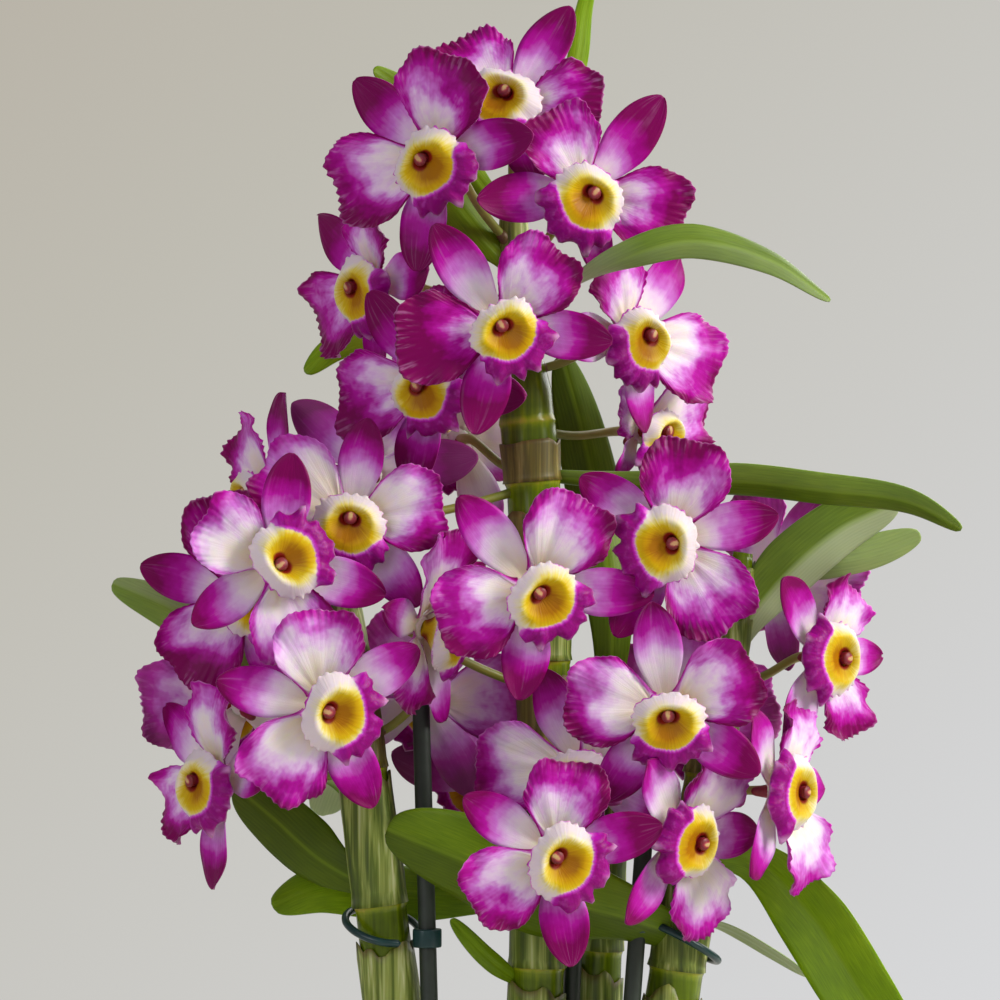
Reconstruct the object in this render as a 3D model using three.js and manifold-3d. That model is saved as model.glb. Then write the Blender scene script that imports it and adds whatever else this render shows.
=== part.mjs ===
// A dendrobium orchid (nobile type) in flower, standing in its pot.
// Millimetres, +Z up. The origin is the centre of the pot's flat underside, and the side
// with the most open blooms looks along -Y.
// Every bloom, leaf, cane, stake and tie is a solid of its own. Blades are thin sheets with
// the same triangles on both faces, and neighbours keep a small gap.
import * as THREE from "three";
import { mergeVertices } from "three/addons/utils/BufferGeometryUtils.js";
import Module from "manifold-3d";

const wasm = await Module();
wasm.setup();

// ---- driving dimensions -------------------------------------------------------------------
const GAP = 0.34; // clear space between two pieces that touch

const POT_HEIGHT = 112;
const POT_FOOT_RADIUS = 44;
const POT_RIM_RADIUS = 60;
const POT_WALL = 4;
const POT_FLOOR = 6;
const POT_BAND = 17; // height of the thick band below the rim
const POT_BAND_STEP = 2; // how far the band stands out
const POT_SIDES = 26;

const BARK_TOP = 99; // height of the bark's surface above the foot
const BARK_RELIEF = 2.2; // how far the chips rise and fall
const BARK_SIDES = 16;

const SEPAL_LENGTH = 33;
const SEPAL_WIDTH = 15;
const PETAL_LENGTH = 32;
const PETAL_WIDTH = 29;
const BLADE_THICKNESS = 0.9;
const HUB_RADIUS = 4.2; // where sepals and petals leave the middle of a bloom
const HUB_THICKNESS = 1.6;
const LIP_LENGTH = 18;
const LIP_ROOT_RADIUS = 2.5;
const LIP_MOUTH_RADIUS = 13.5;
const LIP_WALL = 0.9;
const LIP_TILT = 9; // degrees by which the lip leans away from the dorsal sepal
const COLUMN_LENGTH = 13;
const COLUMN_RADIUS = 1.9;
const STALK_RADIUS = 1.2; // the stalk that carries one bloom
const STALK_TOP_RADIUS = 2.3; // where it swells into the bloom
const STALK_SIDES = 4;

const LEAF_THICKNESS = 1;
const CANE_FOOT = 74; // where the canes end, down in the bark
const CANE_SIDES = 8;
const JOINT_SPACING = 27; // distance between two rings on a cane
const JOINT_RISE = 0.8; // how far a ring stands out

const STAKE_RADIUS = 2.9;
const STAKE_SIDES = 8;
const TIE_RADIUS = 1.3;
const TIE_SIDES = 5;
const TIE_RING = 12.4; // radius of the ring round a cane
const COLLAR_RADIUS = 4.9; // the clip round the stake
const COLLAR_HEIGHT = 6;

const COLOURS = {
  bloom: 0xa33aa0,
  leaf: 0x55801f,
  cane: 0x8c9a50,
  stake: 0x1f2a22,
  tie: 0x12443f,
  pot: 0xd8d4ca,
  bark: 0x5b4030,
};

// ---- small helpers ------------------------------------------------------------------------
const radians = (degrees) => (degrees * Math.PI) / 180;
const mix = (a, b, k) => a + (b - a) * k;
const vector = (p) => new THREE.Vector3(...p);
const smoothCurve = (path) => new THREE.CatmullRomCurve3(path.map(vector), false, "centripetal");

function smooth(k) {
  const x = Math.min(Math.max(k, 0), 1);
  return x * x * (3 - 2 * x);
}

// The same drawn number between -1 and 1 for the same keys.
function drawn(...keys) {
  const sum = keys.reduce((total, key, i) => total + key * (12.9898 + 65.2333 * i), 4.1);
  const x = Math.sin(sum) * 43758.5453;
  return 2 * (x - Math.floor(x)) - 1;
}

// The value at a height, between the rows of a table of [height, value].
function tableValue(table, height) {
  const next = table.findIndex(([h]) => h > height);
  if (next === 0) return table[0][1];
  if (next < 0) return table[table.length - 1][1];
  const [[h0, v0], [h1, v1]] = [table[next - 1], table[next]];
  return mix(v0, v1, (height - h0) / (h1 - h0));
}

function geometryOf(points, faces) {
  const geometry = new THREE.BufferGeometry();
  const positions = new Float32Array(points.flatMap((p) => p.toArray()));
  geometry.setAttribute("position", new THREE.BufferAttribute(positions, 3));
  geometry.setIndex(faces);
  return geometry;
}

// A closed mesh as a solid. One whose faces point inwards is turned round.
function toSolid(geometry) {
  const bare = geometry.clone();
  bare.deleteAttribute("normal");
  bare.deleteAttribute("uv");
  const merged = mergeVertices(bare, 1e-4);
  const solidFrom = (triVerts) =>
    new wasm.Manifold(
      new wasm.Mesh({
        numProp: 3,
        vertProperties: new Float32Array(merged.attributes.position.array),
        triVerts,
      }),
    );
  const triVerts = new Uint32Array(merged.index.array);
  const solid = solidFrom(triVerts);
  return solid.volume() > 0 ? solid : solidFrom(triVerts.reverse());
}

function toGeometry(solid) {
  const { numProp, numVert, vertProperties, triVerts } = solid.getMesh();
  const positions = new Float32Array(numVert * 3);
  for (let i = 0; i < numVert; i++)
    positions.set(vertProperties.subarray(i * numProp, i * numProp + 3), i * 3);
  const geometry = new THREE.BufferGeometry();
  geometry.setAttribute("position", new THREE.BufferAttribute(positions, 3));
  geometry.setIndex(new THREE.BufferAttribute(new Uint32Array(triVerts), 1));
  geometry.computeVertexNormals();
  return geometry;
}

// The largest of the bodies that a cut leaves.
const largest = (solid) => solid.decompose().reduce((a, b) => (b.volume() > a.volume() ? b : a));

// The solid pushed outwards along its corner normals, to cut a neighbour with a gap.
function fattened(solid, by) {
  const geometry = toGeometry(solid);
  const { position, normal } = geometry.attributes;
  for (let i = 0; i < position.count; i++)
    position.setXYZ(
      i,
      position.getX(i) + normal.getX(i) * by,
      position.getY(i) + normal.getY(i) * by,
      position.getZ(i) + normal.getZ(i) * by,
    );
  return toSolid(geometry);
}

// Triangles between two rows of points that run the same way, each given by its first index
// and its count. Rows of unlike counts are joined in order along their length.
function strip(first, firstCount, second, secondCount) {
  const faces = [];
  let [i, j] = [0, 0];
  while (i + 1 < firstCount || j + 1 < secondCount) {
    const ahead = i + 1 < firstCount ? (i + 1) / (firstCount - 1) : 2;
    const other = j + 1 < secondCount ? (j + 1) / (secondCount - 1) : 2;
    if (ahead <= other) {
      faces.push([first + i, first + i + 1, second + j]);
      i++;
    } else {
      faces.push([first + i, second + j + 1, second + j]);
      j++;
    }
  }
  return faces;
}

// A closed tube through rings of equal count, with a fan over each end.
function tubeOfRings(rings) {
  const sides = rings[0].length;
  const faces = [];
  for (let i = 0; i + 1 < rings.length; i++)
    for (let j = 0; j < sides; j++) {
      const k = (j + 1) % sides;
      const [a, b] = [i * sides + j, i * sides + k];
      faces.push(a, b, b + sides, a, b + sides, a + sides);
    }
  const last = (rings.length - 1) * sides;
  for (let j = 1; j + 1 < sides; j++) {
    faces.push(0, j + 1, j);
    faces.push(last, last + j, last + j + 1);
  }
  return geometryOf(rings.flat(), faces);
}

// A round tube whose middle follows a smooth curve, with a ring at each of the given shares of
// its length.
function sweep(path, shares, radiusAt, sides) {
  const curve = smoothCurve(path);
  const side = new THREE.Vector3(1, 0, 0);
  if (Math.abs(curve.getTangentAt(0).x) > 0.8) side.set(0, 1, 0);
  const rings = shares.map((share) => {
    const tangent = curve.getTangentAt(share);
    side.addScaledVector(tangent, -side.dot(tangent)).normalize();
    const up = new THREE.Vector3().crossVectors(tangent, side);
    const middle = curve.getPointAt(share);
    const radius = radiusAt(share, middle);
    return Array.from({ length: sides }, (_, j) => {
      const turn = (2 * Math.PI * j) / sides;
      return middle
        .clone()
        .addScaledVector(side, radius * Math.cos(turn))
        .addScaledVector(up, radius * Math.sin(turn));
    });
  });
  return tubeOfRings(rings);
}

const evenShares = (steps) => Array.from({ length: steps + 1 }, (_, i) => i / steps);

// ---- sepals and petals ----------------------------------------------------------------------
// In its own frame a bloom looks along -Y with its dorsal sepal up. Angles go round from the
// dorsal sepal, anticlockwise as seen from the front.
const TEPALS = [
  { kind: "sepal", angle: 0 },
  { kind: "petal", angle: 67 },
  { kind: "sepal", angle: 132 },
  { kind: "sepal", angle: 228 },
  { kind: "petal", angle: 293 },
];
const FORMS = {
  sepal: {
    length: SEPAL_LENGTH,
    width: SEPAL_WIDTH,
    root: 0.42, // share of the full width at the root
    widest: 0.52, // where along its length it is widest
    tip: 0.1, // share of the full width at the tip
    lean: 8, // forward lean at the root, degrees
    curl: -4, // change of lean from root to tip
    cup: 0.08, // how far the margins stand forward, as a share of the width
    wave: 0.5, // how far the margins wave, mm
    waves: 1.3,
    rows: [
      { s: 0.36, count: 3 },
      { s: 0.74, count: 3 },
      { s: 1, count: 1 },
    ],
  },
  petal: {
    length: PETAL_LENGTH,
    width: PETAL_WIDTH,
    root: 0.18,
    widest: 0.6,
    tip: 0.42,
    lean: 36,
    curl: -48,
    cup: 0.05,
    wave: 1.9,
    waves: 2.6,
    rows: [
      { s: 0.32, count: 4 },
      { s: 0.6, count: 5 },
      { s: 0.85, count: 5 },
      { s: 1, count: 3 },
    ],
  },
};

function widthShare(form, s) {
  if (s < form.widest) return mix(form.root, 1, smooth(s / form.widest));
  const beyond = (s - form.widest) / (1 - form.widest);
  return mix(form.tip, 1, Math.sqrt(Math.max(0, 1 - beyond ** 2.3)));
}

// The middle surface of a sepal or petal: s runs from root to tip, t from -1 to 1 across.
function tepalSurface(form, angle, seed, change) {
  const turn = radians(angle + (change.turn ?? 0));
  const outwards = new THREE.Vector3(-Math.sin(turn), 0, Math.cos(turn));
  const forwards = new THREE.Vector3(0, -1, 0);
  const sideways = new THREE.Vector3().crossVectors(outwards, forwards);
  const length = form.length * (change.length ?? 1);
  const width = form.width * Math.min(1, change.length ?? 1);
  const lean = form.lean + (change.lean ?? 0);
  const curl = form.curl + (change.curl ?? 0);
  const phase = 3 * drawn(seed, angle);
  const steps = 12;
  return (s, t) => {
    const middle = outwards.clone().multiplyScalar(HUB_RADIUS * 0.8);
    for (let i = 0; i < steps; i++) {
      const a = radians(lean + (curl * s * (i + 0.5)) / steps);
      middle.addScaledVector(outwards, (Math.cos(a) * length * s) / steps);
      middle.addScaledVector(forwards, (Math.sin(a) * length * s) / steps);
    }
    const a = radians(lean + curl * s);
    const normal = forwards.clone().multiplyScalar(Math.cos(a)).addScaledVector(outwards, -Math.sin(a));
    const share = widthShare(form, s);
    const ripple = Math.sin(2 * Math.PI * form.waves * s + phase * (1 + Math.sign(t)) + 1.7 * t);
    const wave = form.wave * Math.abs(t) ** 3 * smooth((s - 0.3) / 0.5) * ripple;
    const point = middle.addScaledVector(sideways, (width / 2) * share * t);
    point.addScaledVector(normal, form.cup * width * t * t * share + wave);
    return { point, normal };
  };
}

// The three sepals and two petals as one body round a small five-sided hub.
function perianth(bloom) {
  const points = [];
  const faces = [];
  const corner = (i) => {
    const next = TEPALS[(i + 1) % TEPALS.length].angle + (i + 1 === TEPALS.length ? 360 : 0);
    const turn = radians((TEPALS[i].angle + next) / 2);
    return [-Math.sin(turn) * HUB_RADIUS, Math.cos(turn) * HUB_RADIUS];
  };
  const sides = TEPALS.length;
  for (const y of [-HUB_THICKNESS / 2, HUB_THICKNESS / 2])
    for (let i = 0; i < sides; i++) {
      const [x, z] = corner(i);
      points.push(new THREE.Vector3(x, y, z));
    }
  for (let i = 1; i + 1 < sides; i++) {
    faces.push(0, i, i + 1);
    faces.push(sides, sides + i + 1, sides + i);
  }
  TEPALS.forEach(({ kind, angle }, i) => {
    const form = FORMS[kind];
    const surface = tepalSurface(form, angle, bloom.seed, bloom.tepals?.[i] ?? {});
    const start = points.length;
    const size = form.rows.reduce((total, row) => total + row.count, 0);
    for (const side of [0.5, -0.5])
      for (const { s, count } of form.rows)
        for (let j = 0; j < count; j++) {
          const { point, normal } = surface(s, count > 1 ? (2 * j) / (count - 1) - 1 : 0);
          points.push(point.addScaledVector(normal, side * BLADE_THICKNESS));
        }
    // the root row is an edge of the hub, so it has two points on each face
    const ends = [[i, (i + sides - 1) % sides]];
    let at = start;
    for (const { count } of form.rows) {
      ends.push([at, at + count - 1]);
      at += count;
    }
    const behind = (index) => (index < sides ? index + sides : index + size);
    const face = (a, b, c) => {
      faces.push(a, b, c);
      faces.push(behind(a), behind(c), behind(b));
    };
    const [left, right] = ends[0];
    const first = form.rows[0].count;
    const half = Math.floor((first - 1) / 2);
    for (let j = 0; j < half; j++) face(left, start + j + 1, start + j);
    face(left, right, start + half);
    for (let j = half; j + 1 < first; j++) face(right, start + j + 1, start + j);
    at = start;
    form.rows.slice(0, -1).forEach(({ count }, row) => {
      const next = form.rows[row + 1].count;
      for (const [a, b, c] of strip(at, count, at + count, next)) face(a, b, c);
      at += count;
    });
    const tip = ends[ends.length - 1];
    const rim = [...ends.map((pair) => pair[1])];
    for (let j = tip[1] - 1; j >= tip[0]; j--) rim.push(j);
    for (let row = ends.length - 2; row >= 0; row--) rim.push(ends[row][0]);
    for (let j = 0; j + 1 < rim.length; j++) {
      const [a, b] = [rim[j], rim[j + 1]];
      faces.push(b, a, behind(a), b, behind(a), behind(b));
    }
  });
  return geometryOf(points, faces);
}

// ---- lip, column and stalk ------------------------------------------------------------------
// The lip is a trumpet, narrow at its root, wide and frilled at the mouth, with a lobe in front
// that turns back. k runs from root to mouth, turn goes round from the dorsal side.
function lipPoint(k, turn, inset, seed) {
  const front = (1 - Math.cos(turn)) / 2; // 0 on the dorsal side, 1 in front
  const flare = mix(LIP_ROOT_RADIUS, LIP_MOUTH_RADIUS, 0.6 * smooth(k) + 0.4 * k * k);
  const reach = LIP_LENGTH * k * mix(0.78, 1, front) * (1 - 0.25 * k * k * front);
  const frill = k === 1 ? 0.9 * drawn(seed, Math.round(turn * 10)) : 0;
  const upright = flare * mix(0.72, 0.7 + 0.24 * k * k, front);
  return new THREE.Vector3(
    -Math.sin(turn) * (flare - inset + frill),
    -reach - frill,
    Math.cos(turn) * (upright - inset + frill),
  );
}

function lipSolid(seed) {
  const sides = 8;
  const ring = (k, inset) =>
    Array.from({ length: sides }, (_, j) => lipPoint(k, (2 * Math.PI * j) / sides, inset, seed));
  const rings = [ring(0, 0), ring(0.5, 0), ring(1, 0), ring(1, LIP_WALL), ring(0.36, LIP_WALL)];
  const geometry = tubeOfRings(rings);
  geometry.translate(0, -0.1, 0);
  geometry.applyMatrix4(new THREE.Matrix4().makeRotationX(radians(LIP_TILT)));
  return toSolid(geometry);
}

function columnSolid() {
  const path = [[0, -2, 0], [0, -7, 0.2], [0, -COLUMN_LENGTH, -0.4]];
  const radiusAt = (share) => COLUMN_RADIUS * mix(0.85, 1, share);
  return toSolid(sweep(path, evenShares(1), radiusAt, 4));
}

// Where the bloom's middle is and which way it looks: yaw to the right, pitch upwards, roll
// anticlockwise as seen from the front, in degrees.
function bloomMatrix({ at, yaw = 0, pitch = 0, roll = 0, size = 1 }) {
  return new THREE.Matrix4()
    .makeTranslation(...at)
    .multiply(new THREE.Matrix4().makeRotationZ(radians(yaw)))
    .multiply(new THREE.Matrix4().makeRotationX(radians(-pitch)))
    .multiply(new THREE.Matrix4().makeRotationY(radians(-roll)))
    .multiply(new THREE.Matrix4().makeScale(size, size, size));
}

// The stalk leaves the bloom straight backwards and bends down into its cane.
function stalkSolid(bloom) {
  const [key, height] = bloom.from;
  const matrix = bloomMatrix(bloom);
  const inHub = vector([0, -0.2, 0]).applyMatrix4(matrix);
  const behind = vector([0, 9, 0]).applyMatrix4(matrix);
  const root = caneMiddleAt(CANES[key], height);
  const path = [inHub, behind, ...(bloom.via ?? []).map(vector), root];
  if (!bloom.via) path.splice(2, 0, behind.clone().lerp(root, 0.5).add(vector([0, 0, -2])));
  const radiusAt = (share) => mix(STALK_TOP_RADIUS, STALK_RADIUS, smooth(share / 0.35));
  const shares = [0, 0.25, 0.6, 1];
  return toSolid(sweep(path.map((p) => p.toArray()), shares, radiusAt, STALK_SIDES));
}

function bloomSolid(bloom) {
  const parts = [toSolid(perianth(bloom)), lipSolid(bloom.seed), columnSolid()];
  const head = toGeometry(parts.reduce((a, b) => a.add(b)));
  head.applyMatrix4(bloomMatrix(bloom));
  return toSolid(head).add(stalkSolid(bloom));
}

// ---- where each bloom stands ----------------------------------------------------------------
// from: the cane and the height on it where the stalk leaves it. via: places that the stalk
// passes. tepals: changes to single sepals and petals, in the order of TEPALS.
const BLOOMS = [
  {
    name: "bloom_01_top", at: [3, -10, 471], yaw: -8, pitch: 28, roll: -27, size: 1.04,
    from: ["middle", 440],
    tepals: {
      0: { lean: 2, length: 1.12 },
      1: { turn: -4, length: 0.84 },
      2: { length: 0.9 },
      3: { length: 0.85 },
      4: { turn: 2, length: 0.88 },
    },
  },
  {
    name: "bloom_02_top_left", at: [-21, -25, 454], yaw: -25, pitch: -5, roll: 45, size: 1.04,
    from: ["middle", 425],
    tepals: { 1: { turn: -5 }, 2: { turn: -7 }, 3: { turn: 7 }, 4: { turn: 5 } },
  },
  {
    name: "bloom_03_top_right", at: [28, -25, 442], yaw: 14, pitch: 0, roll: -38, size: 1.04,
    from: ["middle", 418],
    tepals: { 0: { length: 1.1 }, 1: { length: 0.85 }, 3: { length: 0.7 }, 4: { length: 0.94 } },
  },
  {
    name: "bloom_04_upper_front", at: [0.5, -45, 398], yaw: 0, pitch: 0, roll: 34,
    from: ["middle", 398],
    tepals: { 0: { length: 1.1 }, 4: { turn: -4, length: 0.93 } },
  },
  {
    name: "bloom_05_upper_left", at: [-41, 7, 414], yaw: -55, pitch: -6, roll: 48,
    from: ["middle", 408],
    tepals: { 2: { length: 0.85 }, 4: { length: 0.76 } },
  },
  {
    name: "bloom_06_left_of_middle", at: [-22, -18, 381], yaw: -28, pitch: -8, roll: 33,
    from: ["middle", 372],
  },
  {
    name: "bloom_07_upper_right", at: [42, 2, 396], yaw: 45, pitch: 3, roll: -40, size: 1.04,
    from: ["middle", 384],
    tepals: { 1: { length: 0.8 }, 3: { length: 0.85 }, 4: { length: 1.08 } },
  },
  {
    name: "bloom_08_right_of_middle", at: [47, 21, 365], yaw: 55, pitch: 0, roll: 0,
    from: ["middle", 366],
    tepals: { 0: { length: 0.75 }, 1: { length: 0.6 }, 2: { length: 0.55 } },
  },
  {
    name: "bloom_09_middle_back", at: [-14, 27, 362], yaw: -150, pitch: 0, roll: 20,
    from: ["middle", 350],
  },
  {
    name: "bloom_10_west_front", at: [-49, -28, 335], yaw: 2, pitch: 6, roll: -10,
    from: ["middle", 346],
    tepals: { 0: { length: 0.93 }, 4: { turn: -4, length: 0.92 } },
  },
  {
    name: "bloom_11_west_behind", at: [-43, -4, 351], yaw: 168, pitch: 0, roll: -50,
    from: ["left", 318],
    tepals: { 4: { length: 0.72 } },
  },
  {
    name: "bloom_12_west_low", at: [-72, -48, 321], yaw: 8, pitch: 0, roll: 125,
    from: ["left", 302], via: [[-71, -37, 309], [-63, -16, 303]],
    tepals: {
      0: { length: 0.93 },
      1: { length: 0.94 },
      2: { turn: -3 },
      4: { turn: 2, length: 0.86 },
    },
  },
  {
    name: "bloom_13_west_high", at: [-75, 8, 344], yaw: -62, pitch: 0, roll: -18,
    from: ["left", 316],
    tepals: {
      0: { turn: -5 },
      1: { turn: -6, length: 0.85 },
      3: { lean: -6 },
      4: { length: 0.72 },
    },
  },
  {
    name: "bloom_14_west_far", at: [-84, -12, 310], yaw: -4, pitch: 0, roll: 72,
    from: ["left", 300],
    tepals: { 0: { turn: 2 }, 4: { turn: 8 } },
  },
  {
    name: "bloom_15_west_centre", at: [-57, -54, 275], yaw: 10, pitch: -5, roll: 75,
    from: ["left", 276],
    tepals: { 4: { length: 0.95 } },
  },
  {
    name: "bloom_16_west_down", at: [-92, -22, 250], yaw: -54, pitch: 0, roll: 50,
    from: ["left", 252],
    tepals: { 1: { length: 0.86 }, 4: { length: 0.9 } },
  },
  {
    name: "bloom_17_west_side", at: [-86, 6, 273], yaw: -150, pitch: 0, roll: -13,
    from: ["left", 268],
    tepals: { 0: { length: 0.85 }, 3: { turn: -6 }, 4: { turn: -8 } },
  },
  {
    name: "bloom_18_centre", at: [11, -47, 313], yaw: 8, pitch: -5, roll: 40,
    from: ["middle", 300],
    tepals: { 0: { length: 1.1 }, 3: { length: 1.08 } },
  },
  {
    name: "bloom_19_centre_left", at: [-26, -27, 300], yaw: 60, pitch: -10, roll: 77,
    from: ["middle", 276],
    tepals: { 0: { length: 0.8 }, 1: { length: 0.8 } },
  },
  {
    name: "bloom_20_east_high", at: [55, -39, 329], yaw: 5, pitch: -6, roll: -77,
    from: ["right", 316],
  },
  {
    name: "bloom_21_east_centre", at: [54, -45, 273.5], yaw: 0, pitch: -5, roll: 8,
    from: ["right", 266],
    tepals: { 1: { turn: 5 }, 2: { turn: 4 }, 4: { turn: -3, length: 0.93 } },
  },
  {
    name: "bloom_22_low_behind", at: [27, -13, 252], yaw: -20, pitch: 0, roll: 20,
    from: ["behind", 240],
  },
  {
    name: "bloom_23_low_front", at: [17, -60, 228], yaw: 5, pitch: 0, roll: 57,
    from: ["behind", 226], via: [[19, -38, 234], [28, -14, 229]],
    tepals: { 0: { length: 0.95 }, 1: { turn: -4, length: 0.9 }, 4: { length: 0.89 } },
  },
  {
    name: "bloom_24_low_back", at: [-3, 25, 245], yaw: 200, pitch: 0, roll: 60,
    from: ["middle", 240],
  },
  {
    name: "bloom_25_middle_low", at: [-25, 8, 274], yaw: 165, pitch: 0, roll: 20,
    from: ["left", 262],
  },
  {
    name: "bloom_26_east_low", at: [58, -33, 232], yaw: 47, pitch: -10, roll: -90,
    from: ["right", 230],
  },
  {
    name: "bloom_27_east_down", at: [90, -22, 246], yaw: 62, pitch: 0, roll: -90,
    from: ["right", 248],
    tepals: { 0: { length: 0.9 }, 1: { length: 0.88 } },
  },
  {
    name: "bloom_28_east_far", at: [107, 5, 289], yaw: 48, pitch: 0, roll: -90,
    from: ["right", 280],
    tepals: { 0: { length: 0.8 }, 1: { length: 0.78 }, 4: { length: 0.8 } },
  },
  {
    name: "bloom_29_east_back", at: [91, 36, 314], yaw: 140, pitch: 0, roll: 35,
    from: ["right", 300],
    tepals: { 2: { length: 0.85 } },
  },
  {
    name: "bloom_30_east_behind", at: [60, 36, 266], yaw: 165, pitch: 0, roll: 10,
    from: ["right", 256],
  },
].map((bloom, i) => ({ ...bloom, seed: i + 1 }));

// ---- canes ----------------------------------------------------------------------------------
const CANES = {
  middle: {
    path: [
      [8, 5, CANE_FOOT], [11, 5, 130], [12, 5, 175], [15, 6, 275],
      [10, 7, 358], [6, 7, 395], [4, 6, 446],
    ],
    radii: [
      [74, 5], [130, 7.5], [175, 9], [275, 8.4], [350, 9],
      [378, 9], [396, 6.4], [430, 4.2], [446, 2.4],
    ],
  },
  left: {
    path: [
      [-24, -2, CANE_FOOT], [-32, -4, 130], [-36, -5, 175],
      [-44, -5, 240], [-50, -3, 290], [-53, -1, 320],
    ],
    radii: [[74, 5], [130, 7.5], [175, 8.8], [235, 8.2], [290, 6.2], [320, 3]],
  },
  right: {
    path: [
      [36, -3, CANE_FOOT], [50, -3, 130], [57, -4, 175], [63, -4, 215],
      [70, -2, 256], [77, 0, 296], [81, 2, 324],
    ],
    radii: [[74, 5], [130, 7.5], [175, 9], [215, 8.4], [256, 7.2], [296, 5.4], [324, 3]],
  },
  behind: {
    path: [[24, 22, CANE_FOOT], [30, 24, 130], [33, 24, 175], [36, 22, 235], [37, 20, 272]],
    radii: [[74, 4.5], [130, 6.5], [175, 7.6], [235, 6], [272, 3]],
  },
};

function caneMiddleAt(cane, height) {
  const curve = smoothCurve(cane.path);
  let [low, high] = [0, 1];
  for (let i = 0; i < 20; i++) {
    const share = (low + high) / 2;
    if (curve.getPointAt(share).z < height) low = share;
    else high = share;
  }
  return curve.getPointAt((low + high) / 2);
}

// A cane swells and narrows along its length, with a ring where each sheath begins.
function caneSolid(cane) {
  const length = smoothCurve(cane.path).getLength();
  const segments = Math.round(length / JOINT_SPACING);
  const shares = [0];
  for (let i = 1; i < segments; i++) shares.push((i - 0.1) / segments, i / segments);
  shares.push(1);
  const radiusAt = (share, middle) => {
    const onRing = Math.abs(share * segments - Math.round(share * segments)) < 0.01;
    const inside = share > 0 && share < 1;
    return tableValue(cane.radii, middle.z) + (onRing && inside ? JOINT_RISE : 0);
  };
  return toSolid(sweep(cane.path, shares, radiusAt, CANE_SIDES));
}

// ---- leaves ---------------------------------------------------------------------------------
// path: the midrib from the cane to the tip. side: the direction across the blade at the root
// and at the tip.
const LEAVES = [
  { name: "leaf_01_top", width: 8, side: [[1, 0.2, -0.4], [0.8, 0.6, -0.3]],
    path: [[5, 8, 438], [16, 16, 462], [26, 20, 488], [29, 20, 508], [33, 18, 523]] },
  { name: "leaf_02_top_left", width: 11, side: [[0.3, 0.3, 0.8]],
    path: [[3, 8, 436], [-14, 12, 458], [-28, 8, 476], [-42, 4, 486]] },
  { name: "leaf_03_throat", width: 15, side: [[0.7, 0.3, 0.7]],
    path: [[3, 4, 420], [-6, 1, 430], [-14, 0, 440], [-20, 0, 447]] },
  { name: "leaf_04_arching", width: 11, side: [[0, 1, 0.2], [0.3, -0.9, -1]],
    path: [[8, 2, 406], [22, -26, 411], [40, -39, 420], [62, -39, 426], [88, -34, 420], [108, -32, 407]] },
  { name: "leaf_05_left_tip", width: 12, side: [[0, 0.4, 1], [-0.5, 0.3, 0.9]],
    path: [[6, 8, 394], [-14, 28, 400], [-38, 36, 400], [-56, 34, 394], [-66, 30, 385]] },
  { name: "leaf_06_upright", width: 20, side: [[1, 0.15, 0], [0.9, 0.3, 0.3]],
    path: [[36, 20, 266], [38, 24, 300], [34, 31, 335], [28, 33, 365], [21, 31, 391]] },
  { name: "leaf_07_long", width: 12, side: [[0, 0.6, -1], [0.2, 0.4, -1]],
    path: [[10, 8, 350], [50, 4, 347], [78, -2, 348], [106, -8, 345], [135, -14, 341], [152, -18, 332]] },
  { name: "leaf_08_broad", width: 22, side: [[1, 0.5, -0.6], [0.8, 0.5, -1]],
    path: [[76, 0, 289], [84, 1, 303], [97, 2, 318], [114, 3, 332], [133, 4, 341]] },
  { name: "leaf_09_broad_behind", width: 13, side: [[0.8, 0.2, -1]],
    path: [[81, 4, 316], [94, 9, 319], [108, 10, 321], [124, 10, 324], [141, 9, 330]] },
  { name: "leaf_10_left_far", width: 16, side: [[0.3, 0.5, 1]],
    path: [[-50, 0, 288], [-74, -5, 289], [-92, -4, 296], [-110, -1, 306], [-129, -2, 314]] },
  { name: "leaf_11_left_dark", width: 21, side: [[0.8, -0.3, 1]],
    path: [[-42, -5, 212], [-60, -2, 222], [-76, 0, 236], [-88, 0, 246]] },
  { name: "leaf_12_behind_left", width: 20, side: [[0.1, 0.5, 1]],
    path: [[8, 8, 208], [-16, 14, 209], [-40, 12, 211], [-60, 8, 212], [-76, 4, 206]] },
  { name: "leaf_13_front", width: 33, side: [[0.3, -0.35, 1], [0.5, -0.5, 1]],
    path: [[58, -10, 198], [40, -25, 205], [12, -31, 213], [-14, -33, 225], [-37, -29, 234]] },
  { name: "leaf_14_low_right", width: 26, side: [[0.5, -0.4, 0.8], [1, -0.3, 0.7]],
    path: [[66, -4, 226], [86, 3, 221], [104, -4, 203], [120, -14, 178], [138, -22, 152]] },
  { name: "leaf_15_low_thin", width: 8, side: [[0.2, -1, 0.5]],
    path: [[62, 0, 203], [76, 8, 199], [92, 10, 190], [104, 10, 182]] },
  { name: "leaf_16_low_strap", width: 7, side: [[0.6, 0.4, 0.6]],
    path: [[10, 6, 178], [-4, -8, 190], [-16, -12, 203]] },
  { name: "leaf_17_back", width: 22, side: [[1, 0, 0]],
    path: [[36, 24, 220], [29, 52, 234], [22, 78, 236], [17, 98, 222]] },
  { name: "leaf_18_back_low", width: 20, side: [[1, 0.3, 0]],
    path: [[-40, -2, 232], [-48, 30, 246], [-56, 58, 246], [-62, 78, 232]] },
];
const LEAF_ROWS = [0, 0.18, 0.4, 0.64, 0.87, 1];
const LEAF_WIDEST = 0.5; // where along its length a leaf is widest
const LEAF_FOLD = 0.25; // how far the margins stand off the midrib, as a share of the half width

function leafShare(s) {
  if (s < LEAF_WIDEST) return mix(0.4, 1, smooth(s / LEAF_WIDEST));
  return mix(0.12, 1, Math.sqrt(1 - ((s - LEAF_WIDEST) / (1 - LEAF_WIDEST)) ** 2.4));
}

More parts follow.
